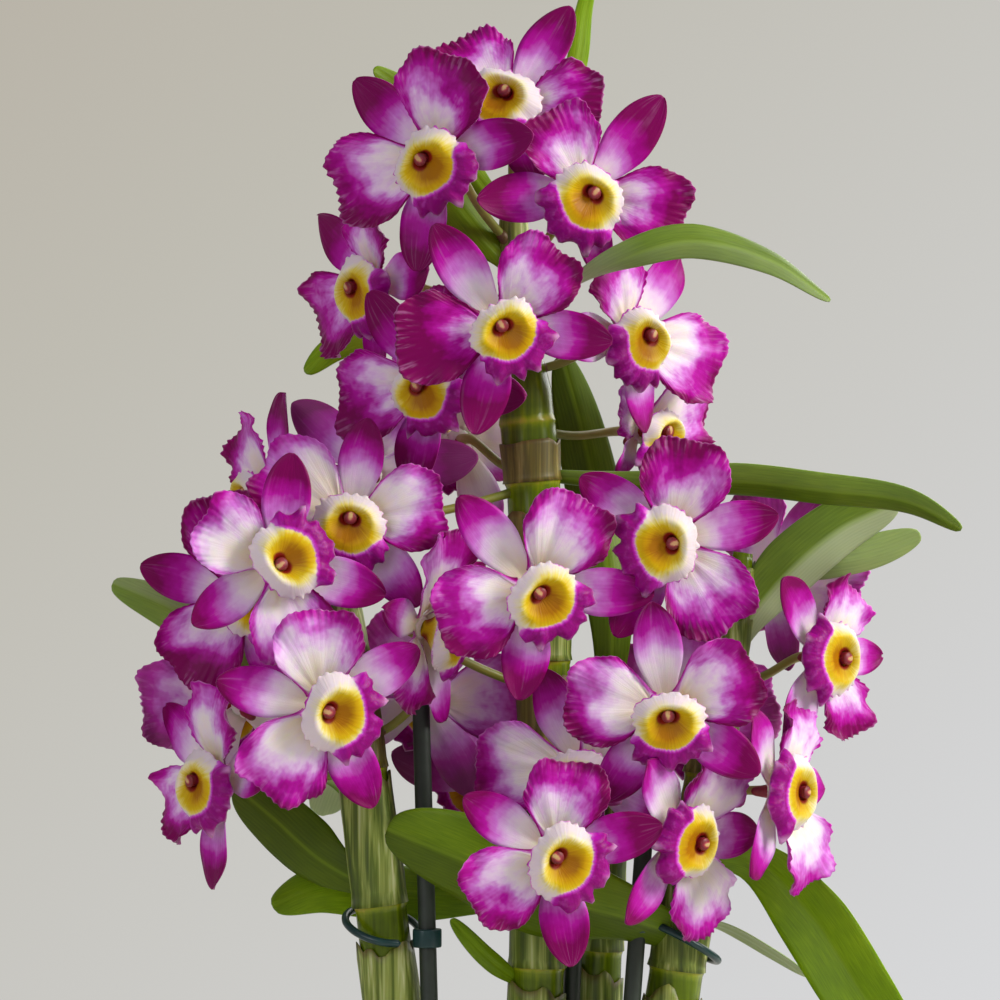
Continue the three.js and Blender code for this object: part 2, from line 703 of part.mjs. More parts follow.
// A leaf is a blade folded a little along its midrib, with three points across each row.
function leafSolid(leaf) {
  const curve = smoothCurve(leaf.path);
  const [sideRoot, sideTip] = [vector(leaf.side[0]), vector(leaf.side[1] ?? leaf.side[0])];
  const across = [-1, 0, 1];
  const points = [];
  for (const face of [0.5, -0.5])
    for (const s of LEAF_ROWS) {
      const middle = curve.getPointAt(s);
      const tangent = curve.getTangentAt(s);
      const side = sideRoot.clone().lerp(sideTip, s);
      side.addScaledVector(tangent, -side.dot(tangent)).normalize();
      const normal = new THREE.Vector3().crossVectors(tangent, side);
      const half = (leaf.width / 2) * leafShare(s);
      for (const t of across)
        points.push(
          middle
            .clone()
            .addScaledVector(side, half * t)
            .addScaledVector(normal, half * LEAF_FOLD * Math.abs(t) + face * LEAF_THICKNESS),
        );
    }
  const rows = LEAF_ROWS.length;
  const count = across.length;
  const behind = rows * count;
  const faces = [];
  for (let i = 0; i + 1 < rows; i++)
    for (const [a, b, c] of strip(i * count, count, (i + 1) * count, count)) {
      faces.push(a, b, c);
      faces.push(behind + a, behind + c, behind + b);
    }
  const rim = [];
  for (let i = 0; i < rows; i++) rim.push(i * count + count - 1);
  rim.push((rows - 1) * count + 1);
  for (let i = rows - 1; i >= 0; i--) rim.push(i * count);
  rim.push(1);
  rim.forEach((a, k) => {
    const b = rim[(k + 1) % rim.length];
    faces.push(b, a, behind + a, b, behind + a, behind + b);
  });
  return toSolid(geometryOf(points, faces));
}

// ---- stakes and ties ------------------------------------------------------------------------
const STAKES = [
  { name: "stake_left", foot: [-20.5, -14, CANE_FOOT], top: [-26.5, -9.5, 284] },
  { name: "stake_right", foot: [36, -13, CANE_FOOT], top: [49, -14, 248] },
  { name: "stake_back", foot: [20, 15, CANE_FOOT], top: [26.5, 10, 236] },
];

function stakeSolid({ foot, top }) {
  const radiusAt = (share) => (share === 1 ? STAKE_RADIUS * 0.6 : STAKE_RADIUS);
  return toSolid(sweep([foot, top], [0, 0.985, 1], radiusAt, STAKE_SIDES));
}

// A tie clips on a stake with a short collar and hooks round a cane in an open, tilted ring.
// from and sweep: where the ring starts and how far it goes round. high: where it is highest.
const TIES = [
  { name: "tie_left", cane: "left", stake: 0, height: 200, from: -15, sweep: 315, high: 120, rise: 5 },
  { name: "tie_right", cane: "right", stake: 1, height: 195, from: 212, sweep: 290, high: 200, rise: 7 },
];
const TIE_RING_STEPS = 12;

function tieSolid(tie) {
  const middle = caneMiddleAt(CANES[tie.cane], tie.height);
  const { foot, top } = STAKES[tie.stake];
  const onStake = vector(foot).lerp(vector(top), (tie.height - foot[2]) / (top[2] - foot[2]));
  const ring = evenShares(TIE_RING_STEPS).map((share) => {
    const turn = radians(tie.from + tie.sweep * share);
    const rise = tie.rise * Math.cos(turn - radians(tie.high));
    return [middle.x + TIE_RING * Math.cos(turn), middle.y + TIE_RING * Math.sin(turn), middle.z + rise];
  });
  onStake.z = ring[0][2];
  const hookShares = evenShares(TIE_RING_STEPS + 2);
  const hook = sweep([onStake.toArray(), ...ring], hookShares, () => TIE_RADIUS, TIE_SIDES);
  const [low, high] = [-1, 1].map((end) => [onStake.x, onStake.y, onStake.z + (end * COLLAR_HEIGHT) / 2]);
  const collar = sweep([low, high], [0, 1], () => COLLAR_RADIUS, STAKE_SIDES);
  return toSolid(hook).add(toSolid(collar));
}

// ---- pot and bark ---------------------------------------------------------------------------
const potRadiusAt = (z) => mix(POT_FOOT_RADIUS, POT_RIM_RADIUS - POT_BAND_STEP, z / POT_HEIGHT);

function potGeometry() {
  const bandFoot = POT_HEIGHT - POT_BAND;
  const inner = (z) => potRadiusAt(z) - POT_WALL;
  const profile = [
    [0, 0],
    [POT_FOOT_RADIUS - 1.5, 0],
    [POT_FOOT_RADIUS, 1.5],
    [potRadiusAt(bandFoot), bandFoot],
    [potRadiusAt(bandFoot) + POT_BAND_STEP, bandFoot + 1.5],
    [POT_RIM_RADIUS, POT_HEIGHT - 1],
    [POT_RIM_RADIUS - 1, POT_HEIGHT],
    [inner(POT_HEIGHT), POT_HEIGHT - 0.8],
    [inner(POT_FLOOR), POT_FLOOR],
    [0, POT_FLOOR],
  ];
  return new THREE.LatheGeometry(profile.map(([r, z]) => new THREE.Vector2(r, z)), POT_SIDES).rotateX(
    Math.PI / 2,
  );
}

// The bark fills the pot, with a lumpy top.
function barkSolid() {
  const rings = [];
  const inner = (z) => (potRadiusAt(z) - POT_WALL) * Math.cos(Math.PI / POT_SIDES) - GAP;
  const ring = (radius, z, relief) =>
    Array.from({ length: BARK_SIDES }, (_, j) => {
      const turn = (2 * Math.PI * j) / BARK_SIDES;
      const lump = relief * drawn(j, Math.round(radius));
      return new THREE.Vector3(radius * Math.cos(turn), radius * Math.sin(turn), z + lump);
    });
  const foot = POT_FLOOR + GAP;
  rings.push(ring(inner(foot), foot, 0), ring(inner(BARK_TOP - 4), BARK_TOP - 4, 0));
  for (const share of [0.8, 0.5, 0.2])
    rings.push(ring(inner(BARK_TOP) * share, BARK_TOP, BARK_RELIEF));
  return toSolid(tubeOfRings(rings));
}

// ---- assembly -------------------------------------------------------------------------------
const group = new THREE.Group();

function addPiece(name, geometry, colour, roughness) {
  const material = new THREE.MeshStandardMaterial({ color: colour, roughness, metalness: 0 });
  const mesh = new THREE.Mesh(geometry, material);
  mesh.name = name;
  group.add(mesh);
}

// Upright pieces first: what grows from a cane is then cut back to leave its gap.
const canes = Object.entries(CANES).map(([key, cane]) => ({ name: `cane_${key}`, solid: caneSolid(cane) }));
const stakes = STAKES.map((stake) => ({ name: stake.name, solid: stakeSolid(stake) }));
const uprights = [...canes, ...stakes].map(({ solid }) => fattened(solid, GAP));

const clearOf = (solid, cutters) =>
  largest(cutters.reduce((rest, cutter) => rest.subtract(cutter), solid));

const ties = TIES.map((tie) => ({ name: tie.name, solid: clearOf(tieSolid(tie), uprights) }));
const supports = [...uprights, ...ties.map(({ solid }) => fattened(solid, GAP))];
const blooms = BLOOMS.map((bloom) => ({ name: bloom.name, solid: clearOf(bloomSolid(bloom), supports) }));
const leaves = LEAVES.map((leaf) => ({ name: leaf.name, solid: clearOf(leafSolid(leaf), supports) }));

for (const { name, solid } of canes) addPiece(name, toGeometry(solid), COLOURS.cane, 0.6);
for (const { name, solid } of stakes) addPiece(name, toGeometry(solid), COLOURS.stake, 0.5);
for (const { name, solid } of ties) addPiece(name, toGeometry(solid), COLOURS.tie, 0.4);
for (const { name, solid } of leaves) addPiece(name, toGeometry(solid), COLOURS.leaf, 0.45);
for (const { name, solid } of blooms) addPiece(name, toGeometry(solid), COLOURS.bloom, 0.5);
addPiece("pot", potGeometry(), COLOURS.pot, 0.35);
addPiece("bark_medium", toGeometry(clearOf(barkSolid(), uprights)), COLOURS.bark, 0.95);

export default group;
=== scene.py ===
"""The looks of a dendrobium orchid (nobile type) in flower, standing in its pot.

Metres, +Z up, the same frame as the solids. Shapes are worked out in millimetres and turned to
metres when a mesh is made. Every bloom, leaf, cane, stake and tie is one piece, in the place
and form of its solid, with the frills, veins, sheaths and finishes that the solid lacks.
"""

import math

import bpy
import numpy as np
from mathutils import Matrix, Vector


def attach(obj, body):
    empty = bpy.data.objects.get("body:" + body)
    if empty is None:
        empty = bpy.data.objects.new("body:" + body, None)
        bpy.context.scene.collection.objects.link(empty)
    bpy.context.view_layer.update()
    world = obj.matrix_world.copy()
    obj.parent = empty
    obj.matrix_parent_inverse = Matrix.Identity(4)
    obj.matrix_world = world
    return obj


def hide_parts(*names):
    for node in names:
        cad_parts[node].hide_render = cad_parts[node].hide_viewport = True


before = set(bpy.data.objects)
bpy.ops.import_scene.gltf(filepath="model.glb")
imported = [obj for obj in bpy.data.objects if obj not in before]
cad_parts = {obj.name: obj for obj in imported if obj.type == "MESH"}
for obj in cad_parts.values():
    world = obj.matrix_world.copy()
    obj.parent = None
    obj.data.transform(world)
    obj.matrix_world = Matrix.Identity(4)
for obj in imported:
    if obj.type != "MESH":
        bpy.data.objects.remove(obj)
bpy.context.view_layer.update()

MM = 0.001

# ---- sizes shared with the solids, millimetres -----------------------------------------------
POT_HEIGHT = 112
POT_FOOT_RADIUS = 44
POT_RIM_RADIUS = 60
POT_WALL = 4
POT_FLOOR = 6
POT_BAND = 17
POT_BAND_STEP = 2
BARK_TOP = 99
CANE_FOOT = 74
HUB_RADIUS = 4.2
LIP_LENGTH = 18
LIP_ROOT_RADIUS = 2.5
LIP_MOUTH_RADIUS = 13.5
LIP_TILT = 9
COLUMN_LENGTH = 13
STALK_RADIUS = 1.5
STALK_TOP_RADIUS = 2.3
JOINT_SPACING = 27
STAKE_RADIUS = 2.9
TIE_RADIUS = 1.3
TIE_RING = 12.4
COLLAR_RADIUS = 4.9
COLLAR_HEIGHT = 6
LEAF_WIDEST = 0.5
LEAF_FOLD = 0.25

# kind and angle of the sepals and petals, anticlockwise from the top one, seen from the front
TEPALS = [("sepal", 0), ("petal", 67), ("sepal", 132), ("sepal", 228), ("petal", 293)]
FORMS = {
    "sepal": dict(length=33, width=16, root=0.45, widest=0.52, tip=0.1, lean=8, curl=-4,
                  cup=0.08, wave=0.5, waves=1.3, point=0.78),
    "petal": dict(length=32, width=30.5, root=0.34, widest=0.6, tip=0.42, lean=36, curl=-48,
                  cup=0.05, wave=1.9, waves=2.6, point=0.5),
}


# ---- numbers ---------------------------------------------------------------------------------
def smooth(x):
    x = np.clip(x, 0, 1)
    return x * x * (3 - 2 * x)


def mix(a, b, k):
    return a + (b - a) * k


def unit(v):
    return v / np.maximum(np.linalg.norm(v, axis=-1, keepdims=True), 1e-9)


def drawn(*keys):
    """The same drawn number between -1 and 1 for the same keys."""
    total = 4.1
    for i, key in enumerate(keys):
        total = total + np.asarray(key, float) * (12.9898 + 65.2333 * i)
    x = np.sin(total) * 43758.5453
    return 2 * (x - np.floor(x)) - 1


def wander(x, *keys):
    """A smooth random line between -1 and 1, with a new value at each whole x."""
    low = np.floor(x)
    return mix(drawn(*keys, low), drawn(*keys, low + 1), smooth(x - low))


class Path:
    """A smooth curve through points, read by the share of its length."""

    def __init__(self, points, steps=48):
        p = np.array(points, float)
        p = np.vstack([2 * p[0] - p[1], p, 2 * p[-1] - p[-2]])
        k = np.linspace(0, 1, steps, endpoint=False)[:, None]
        pieces = []
        for a, b, c, d in zip(p, p[1:], p[2:], p[3:]):
            ta, tb, tc = (np.linalg.norm(v) ** 0.5 for v in (b - a, c - b, d - c))
            start = ((b - a) / ta - (c - a) / (ta + tb) + (c - b) / tb) * tb
            end = ((c - b) / tb - (d - b) / (tb + tc) + (d - c) / tc) * tb
            cubic = 2 * b - 2 * c + start + end
            square = -3 * b + 3 * c - 2 * start - end
            pieces.append(b + start * k + square * k**2 + cubic * k**3)
        self.points = np.vstack([*pieces, p[-2]])
        run = np.linalg.norm(np.diff(self.points, axis=0), axis=1)
        self.run = np.concatenate([[0], np.cumsum(run)])
        self.length = self.run[-1]

    def at(self, share):
        where = np.asarray(share, float) * self.length
        return np.stack([np.interp(where, self.run, self.points[:, i]) for i in range(3)], -1)

    def along(self, share):
        share = np.asarray(share, float)
        return unit(self.at(np.minimum(share + 0.004, 1)) - self.at(np.maximum(share - 0.004, 0)))

    def share_at_height(self, height):
        return self.run[np.argmin(np.abs(self.points[:, 2] - height))] / self.length


def round_angles(sides):
    return 2 * np.pi * np.arange(sides) / sides


def moved(points, matrix):
    return points @ matrix[:3, :3].T + matrix[:3, 3]


# ---- meshes ----------------------------------------------------------------------------------
def new_object(name, data):
    """An object of this data, linked into the scene."""
    made = bpy.data.objects.new(name, data)
    bpy.context.scene.collection.objects.link(made)
    return made


def grid(rows, cols, wrap):
    """Quads over rows and columns of points, and the row and column of each corner."""
    i, j = np.meshgrid(np.arange(rows - 1), np.arange(cols if wrap else cols - 1), indexing="ij")
    row = np.stack([i, i, i + 1, i + 1], -1).reshape(-1, 4)
    col = np.stack([j, j + 1, j + 1, j], -1).reshape(-1, 4)
    return row * cols + col % cols, row, col


class Skin:
    """Gathers the sheets and tubes of one piece and makes them one mesh."""

    def __init__(self, *traits):
        self.traits = traits
        self.points, self.faces, self.uvs, self.materials = [], [], [], []
        self.values = {trait: [] for trait in traits}
        self.count = 0

    def add(self, points, faces, uvs, material, values):
        """Adds a closed body. faces are arrays of quads or triangles; it is turned right side out."""
        volume = 0.0
        for face in faces:
            a = points[face[:, 0]]
            for k in range(1, face.shape[1] - 1):
                b, c = points[face[:, k]], points[face[:, k + 1]]
                volume += np.einsum("ij,ij->i", a, np.cross(b, c)).sum()
        turn = slice(None, None, -1 if volume < 0 else 1)
        for face, uv in zip(faces, uvs):
            self.faces.append((face + self.count)[:, turn])
            self.uvs.append(uv[:, turn])
            self.materials.append(np.full(len(face), material))
        self.points.append(points)
        for trait in self.traits:
            value = np.asarray(values.get(trait, 0.0), float)
            self.values[trait].append(np.broadcast_to(value.reshape(-1), (len(points),))
                                      if value.size == 1 else value.reshape(-1))
        self.count += len(points)

    def shell(self, front, back, u, v, material=0, wrap=False, turned=False, **values):
        """A thin sheet with two faces and a rim. u and v are the rows' and columns' UV. The front
        is the upper side, unless the sheet is turned."""
        rows, cols = front.shape[:2]
        n = rows * cols
        face, row, col = grid(rows, cols, wrap)
        uv = np.stack([u[row], v[col]], -1)
        if wrap:
            ring = np.arange(cols + 1)
            loops = [(np.zeros_like(ring), ring), (np.full_like(ring, rows - 1), ring[::-1])]
        else:
            i, j = np.arange(rows), np.arange(cols)
            loops = [(np.concatenate([0 * j, i, 0 * j + rows - 1, i[::-1]]),
                      np.concatenate([j, 0 * i + cols - 1, j[::-1], 0 * i]))]
        faces, uvs = [face, face[:, ::-1] + n], [uv, uv[:, ::-1]]
        for r, c in loops:
            index = r * cols + c % cols
            a, b = index[:-1], index[1:]
            keep = a != b
            a, b = a[keep], b[keep]
            faces.append(np.stack([b, a, a + n, b + n], -1))
            at = np.stack([u[r], v[c]], -1)
            ua, ub = at[:-1][keep], at[1:][keep]
            uvs.append(np.stack([ub, ua, ua, ub], 1))
        both = {k: np.concatenate([np.broadcast_to(x, (rows, cols)).ravel()] * 2)
                for k, x in values.items()}
        both["under"] = np.repeat([1.0, 0.0] if turned else [0.0, 1.0], n)
        points = np.concatenate([front.reshape(-1, 3), back.reshape(-1, 3)])
        self.add(points, faces, uvs, material, both)

    def tube(self, rings, u=None, material=0, **values):
        """A body through closed rings of points, with a fan over each end."""
        rows, cols = rings.shape[:2]
        u = np.linspace(0, 1, rows) if u is None else u
        v = np.linspace(0, 1, cols + 1)
        face, row, col = grid(rows, cols, True)
        j = np.arange(cols)
        k = (j + 1) % cols
        low, high = rows * cols, rows * cols + 1
        last = (rows - 1) * cols
        start = np.stack([np.full(cols, low), k, j], -1)
        end = np.stack([np.full(cols, high), last + j, last + k], -1)
        points = np.vstack([rings.reshape(-1, 3), rings[0].mean(0), rings[-1].mean(0)])
        fan = np.stack([v[j], v[j], v[j + 1]], -1)
        ends = {}
        for key, x in values.items():
            x = np.broadcast_to(x, (rows, cols))
            ends[key] = np.concatenate([x.ravel(), [x[0].mean(), x[-1].mean()]])
        self.add(points, [face, start, end],
                 [np.stack([u[row], v[col]], -1),
                  np.stack([np.full_like(fan, u[0]), fan], -1),
                  np.stack([np.full_like(fan, u[-1]), fan], -1)], material, ends)

    def make(self, name, materials, matrix=None):
        """One mesh object of everything gathered, in metres."""
        points = np.vstack(self.points)
        if matrix is not None:
            points = moved(points, matrix)
        sizes = np.concatenate([np.full(len(f), f.shape[1]) for f in self.faces])
        mesh = bpy.data.meshes.new(name)
        mesh.vertices.add(len(points))
        mesh.vertices.foreach_set("co", (points * MM).astype(np.float32).ravel())
        corners = np.concatenate([f.ravel() for f in self.faces]).astype(np.int32)
        mesh.loops.add(len(corners))
        mesh.loops.foreach_set("vertex_index", corners)
        mesh.polygons.add(len(sizes))
        starts = np.concatenate([[0], np.cumsum(sizes)[:-1]]).astype(np.int32)
        mesh.polygons.foreach_set("loop_start", starts)
        indices = np.concatenate(self.materials).astype(np.int32)
        mesh.polygons.foreach_set("material_index", indices)
        mesh.polygons.foreach_set("use_smooth", np.ones(len(sizes), bool))
        layer = mesh.uv_layers.new(name="UVMap")
        uv = np.concatenate([x.reshape(-1, 2) for x in self.uvs]).astype(np.float32)
        layer.data.foreach_set("uv", uv.ravel())
        for trait in self.traits:
            value = np.concatenate(self.values[trait]).astype(np.float32)
            mesh.attributes.new(trait, "FLOAT", "POINT").data.foreach_set("value", value)
        for material in materials:
            mesh.materials.append(material)
        mesh.update()
        mesh.validate()
        return new_object(name, mesh)


def rings_along(path, shares, radius, sides, flat=1.0):
    """Rings round a curve. radius is one number, one a ring, or one a point."""
    middle, along = path.at(shares), path.along(shares)
    side = np.array((0, 1, 0) if abs(along[0][0]) > 0.8 else (1, 0, 0), float)
    turn = round_angles(sides)
    radius = np.broadcast_to(np.asarray(radius, float).reshape(-1, 1)
                             if np.ndim(radius) == 1 else radius, (len(shares), sides))
    rings = []
    for centre, forward, r in zip(middle, along, radius):
        side = unit(side - forward * (side @ forward))
        up = np.cross(forward, side)
        rings.append(centre + np.outer(r * np.cos(turn), side) + np.outer(flat * r * np.sin(turn), up))
    return np.array(rings)


def dress(made, node):
    """The piece stands for its solid and takes its place."""
    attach(made, "root")
    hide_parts(node)


# ---- finishes --------------------------------------------------------------------------------
def linear(colour):
    """An sRGB hex colour as linear RGBA."""
    parts = [int(colour[i:i + 2], 16) / 255 for i in (1, 3, 5)]
    return (*(p / 12.92 if p <= 0.04045 else ((p + 0.055) / 1.055) ** 2.4 for p in parts), 1.0)


class Wire:
    """One output of a node. It can stand in a formula, and an index gives another output."""

    def __init__(self, node, output=0):
        self.node, self.socket = node, node.outputs[output]

    def __getitem__(self, output):
        return Wire(self.node, output)

    def __add__(self, other):
        return add(self.node.id_data, "ShaderNodeMath", (self, other), operation="ADD")

    def __sub__(self, other):
        return add(self.node.id_data, "ShaderNodeMath", (self, other), operation="SUBTRACT")

    def __mul__(self, other):
        return add(self.node.id_data, "ShaderNodeMath", (self, other), operation="MULTIPLY")


def join(tree, value, socket):
    """Links a wire to a socket, or sets the socket's own value. Text is a colour."""
    if isinstance(value, Wire):
        tree.links.new(value.socket, socket)
    else:
        socket.default_value = linear(value) if isinstance(value, str) else value


def add(tree, kind, inputs=(), stops=(), **words):
    """Adds a node and gives its first output. inputs fill its sockets in order or by number. Words
    with a capital fill them by name, and the other words are the node's settings."""
    node = tree.nodes.new(kind)
    for word, value in words.items():
        if word.islower():
            setattr(node, word, value)
    if isinstance(inputs, Wire):
        inputs = (inputs,)
    for place, value in inputs.items() if isinstance(inputs, dict) else enumerate(inputs):
        join(tree, value, node.inputs[place])
    for word, value in words.items():
        if not word.islower():
            join(tree, value, node.inputs[word.replace("_", " ")])
    for _ in stops[2:]:
        node.color_ramp.elements.new(0.5)
    for i, (place, colour) in enumerate(stops):
        node.color_ramp.elements[i].position = place
        node.color_ramp.elements[i].color = linear(colour)
    return Wire(node) if node.outputs else None


SOFT = dict(interpolation_type="SMOOTHSTEP")
# the sockets of a Mix node that mixes colours: how much of the second, the first and the second
SHARE, UNDER, OVER, MIXED = 0, 6, 7, 2
COLOURS = dict(data_type="RGBA")


class Finish:
    """A material with one Principled shader."""

    def __init__(self, name, **sockets):
        self.material = bpy.data.materials.new(name)
        self.material.use_nodes = True
        self.tree = self.material.node_tree
        self.link(**sockets)

    def add(self, kind, inputs=(), stops=(), **words):
        return add(self.tree, f"ShaderNode{kind}", inputs, stops, **words)

    def link(self, **sockets):
        """Fills the shader's own sockets."""
        for word, value in sockets.items():
            join(self.tree, value, self.tree.nodes["Principled BSDF"].inputs[word.replace("_", " ")])

    def streaks(self, x, y, z, detail=2, rough=0.5):
        """A noise that runs along the surface, drawn out by the coordinates that it is given."""
        return self.add("TexNoise", Vector=self.add("CombineXYZ", (x, y, z)), Scale=1, Detail=detail,
                        Roughness=rough)

    def done(self, colour, height, depth, strength, **more):
        """The finished material, with relief of a depth in millimetres."""
        relief = self.add("Bump", Height=height, Distance=depth * MM, Strength=strength)
        self.link(Base_Color=colour, Normal=relief, **more)
        return self.material


WHITE_TO_MAGENTA = ((0.1, "#E8DEC8"), (0.4, "#E6DAE2"), (0.53, "#DEBEE4"), (0.66, "#C872CC"),
                    (0.79, "#B0149C"), (0.9, "#98007C"), (1.0, "#780052"))


# Dendrobium petal tissue, grown in fine fan-shaped veins: satin with some light coming through, white at the
# heart and magenta at the margin. Painted highlights in pale lilac lie on the crests of the crimped margin,
# along its rim, and in short dashes where the margin is crimped; on the sepals the dashes run long, as
# painted highlights of their folds.
def petal_tissue(name, veins, patches, highlight_dashes, highlight_dash_length, highlight_dash_start):
    f = Finish(name, Roughness=0.4, Subsurface_Weight=0.3, Subsurface_Scale=0.001,
               Subsurface_Radius=(1.0, 0.04, 0.8), Specular_IOR_Level=0.1)
    out, across, _ = f.add("SeparateXYZ", f.add("TexCoord")["UV"])
    seed, fade, blush, under, crest = (f.add("Attribute", attribute_name=trait)["Fac"]
                                       for trait in ("seed", "fade", "blush", "under", "crest"))
    vein = f.streaks(out * 1.6, across * veins, seed, 3)
    patch = f.streaks(out * 3, across * (veins * 0.08), seed + 3.7, 3, 0.6)
    reach = fade + blush + ((vein - 0.5) * 0.07 + (patch - 0.5) * patches)
    # painted highlight: pale dashes near the margin, drawn long on the sepals to stand for light on their
    # folds
    highlight_dash = f.streaks(out * highlight_dash_length, across * (veins * 0.8), seed + 9.1)
    highlight_dash = (f.add("MapRange", (highlight_dash, 0.52, 0.7), **SOFT) * f.add("MapRange", (out, highlight_dash_start, 0.97), **SOFT)
            * f.add("MapRange", (patch, 0.62, 0.38), **SOFT) * highlight_dashes)
    # painted highlight on the crests of the crimps and along the margin's rim
    crimp = f.add("MapRange", (crest, 0.2, 0.85), **SOFT) * 0.42
    painted_highlight = f.add("Math", (crimp, highlight_dash), operation="MAXIMUM")
    colour = f.add("ValToRGB", reach, stops=WHITE_TO_MAGENTA)
    for share, coat in ((under * 0.18, "#B478BC"), (painted_highlight, "#DCA8DC")):
        colour = f.add("Mix", {SHARE: share, UNDER: colour, OVER: coat}, **COLOURS)[MIXED]
    grain = f.add("TexNoise", f.add("TexCoord")["Object"], Scale=2600, Detail=1)
    return f.done(colour, vein + grain * 0.3, 0.22, 0.5)


# The same tissue on the lip, thicker and waxier: cream round a golden throat with a maroon stain, and a
# magenta lobe with crisp frills. The gold deepens to orange-brown towards the column, partly its own colour
# and partly painted shade in the throat; the frills' crests and the margin carry painted highlights, and the
# lobe small painted glints.
def lip_tissue():
    f = Finish("lip_tissue", Roughness=0.42, Subsurface_Weight=0.2, Subsurface_Scale=0.001,
               Subsurface_Radius=(1.0, 0.5, 0.1), Specular_IOR_Level=0.15)
    out, across, _ = f.add("SeparateXYZ", f.add("TexCoord")["UV"])
    seed, gold, stain, rim, crest = (f.add("Attribute", attribute_name=trait)["Fac"]
                                     for trait in ("seed", "gold", "stain", "rim", "crest"))
    spot = f.add("TexCoord")["Object"]
    vary = (f.add("TexNoise", spot, Scale=420, Detail=3) - 0.5) * 0.18
    crinkle = f.add("TexNoise", spot, Scale=360, Detail=2)
    vein = f.streaks(out * 2, across * 70, seed)
    # gold deepening to orange-brown at the throat: partly the lip's own colour, partly painted shade of the
    # throat's depth
    colour = f.add("ValToRGB", gold + vary + (vein - 0.5) * 0.3,
                   stops=[(0.03, "#DED0D6"), (0.2, "#E2D8B8"), (0.36, "#DCCA62"), (0.52, "#CEAE0A"),
                          (0.76, "#C29400"), (1.0, "#A46A00")])
    lilac = rim + (vein - 0.5) * 0.45 + vary
    magenta = f.add("ValToRGB", lilac, stops=[(0.0, "#E6D0E2"), (0.4, "#CC5CC8"), (0.65, "#B00EA2"),
                                              (1.0, "#8C0074")])
    # painted highlight on the frills' crests and along the margin
    painted_crest_highlight = f.add("MapRange", (crest, 0.2, 0.85), **SOFT) * 0.55
    # painted glints: lighter magenta flecks over the lobe
    painted_glints = (f.add("MapRange", (crinkle, 0.52, 0.75), **SOFT) * f.add("MapRange", (lilac, 0.4, 0.8), **SOFT)
              * 0.3)
    stained = f.add("MapRange", (stain + vary, 0.25, 0.65), **SOFT)
    lobe = f.add("MapRange", (lilac, 0.12, 0.42), **SOFT)
    for share, coat in ((stained, "#841C10"), (lobe, magenta), (painted_crest_highlight, "#DDB0DC"), (painted_glints, "#C85CC4")):
        colour = f.add("Mix", {SHARE: share, UNDER: colour, OVER: coat}, **COLOURS)[MIXED]
    crumple = crinkle * f.add("MapRange", (lilac, 0.2, 0.6), **SOFT) * 3
    return f.done(colour, vein + crumple, 0.3, 0.6)


# Waxy column tissue: tan and olive cream in the middle, crimson at both sides, maroon at the spur.
def column_tissue():
    f = Finish("column_tissue", Roughness=0.5, Subsurface_Weight=0.25, Subsurface_Scale=0.001)
    stain = f.add("Attribute", attribute_name="stain")["Fac"]
    speck = f.add("TexNoise", f.add("TexCoord")["Object"], Scale=900, Detail=2)
    colour = f.add("ValToRGB", stain + (speck - 0.5) * 0.5,
                   stops=[(0.0, "#C8B070"), (0.25, "#BE8464"), (0.5, "#982038"), (1.0, "#660818")])
    return f.done(colour, speck, 0.12, 0.6)


# Flower stalk: smooth, slightly fleshy, cream green with a tan or rosy cast towards the bloom.
def stalk_skin():
    f = Finish("stalk_skin", Roughness=0.44, Subsurface_Weight=0.2, Subsurface_Scale=0.001)
    along, _, _ = f.add("SeparateXYZ", f.add("TexCoord")["UV"])
    mottle = f.add("TexNoise", f.add("TexCoord")["Object"], Scale=160, Detail=3)
    colour = f.add("ValToRGB", along + (mottle - 0.5) * 0.5,
                   stops=[(0.0, "#B8A878"), (0.3, "#948C3C"), (0.65, "#7E7E2A"), (1.0, "#6A781A")])
    return f.done(colour, mottle, 0.15, 0.5)


VEIN_SPACING = 1.2  # between the parallel veins of a leaf


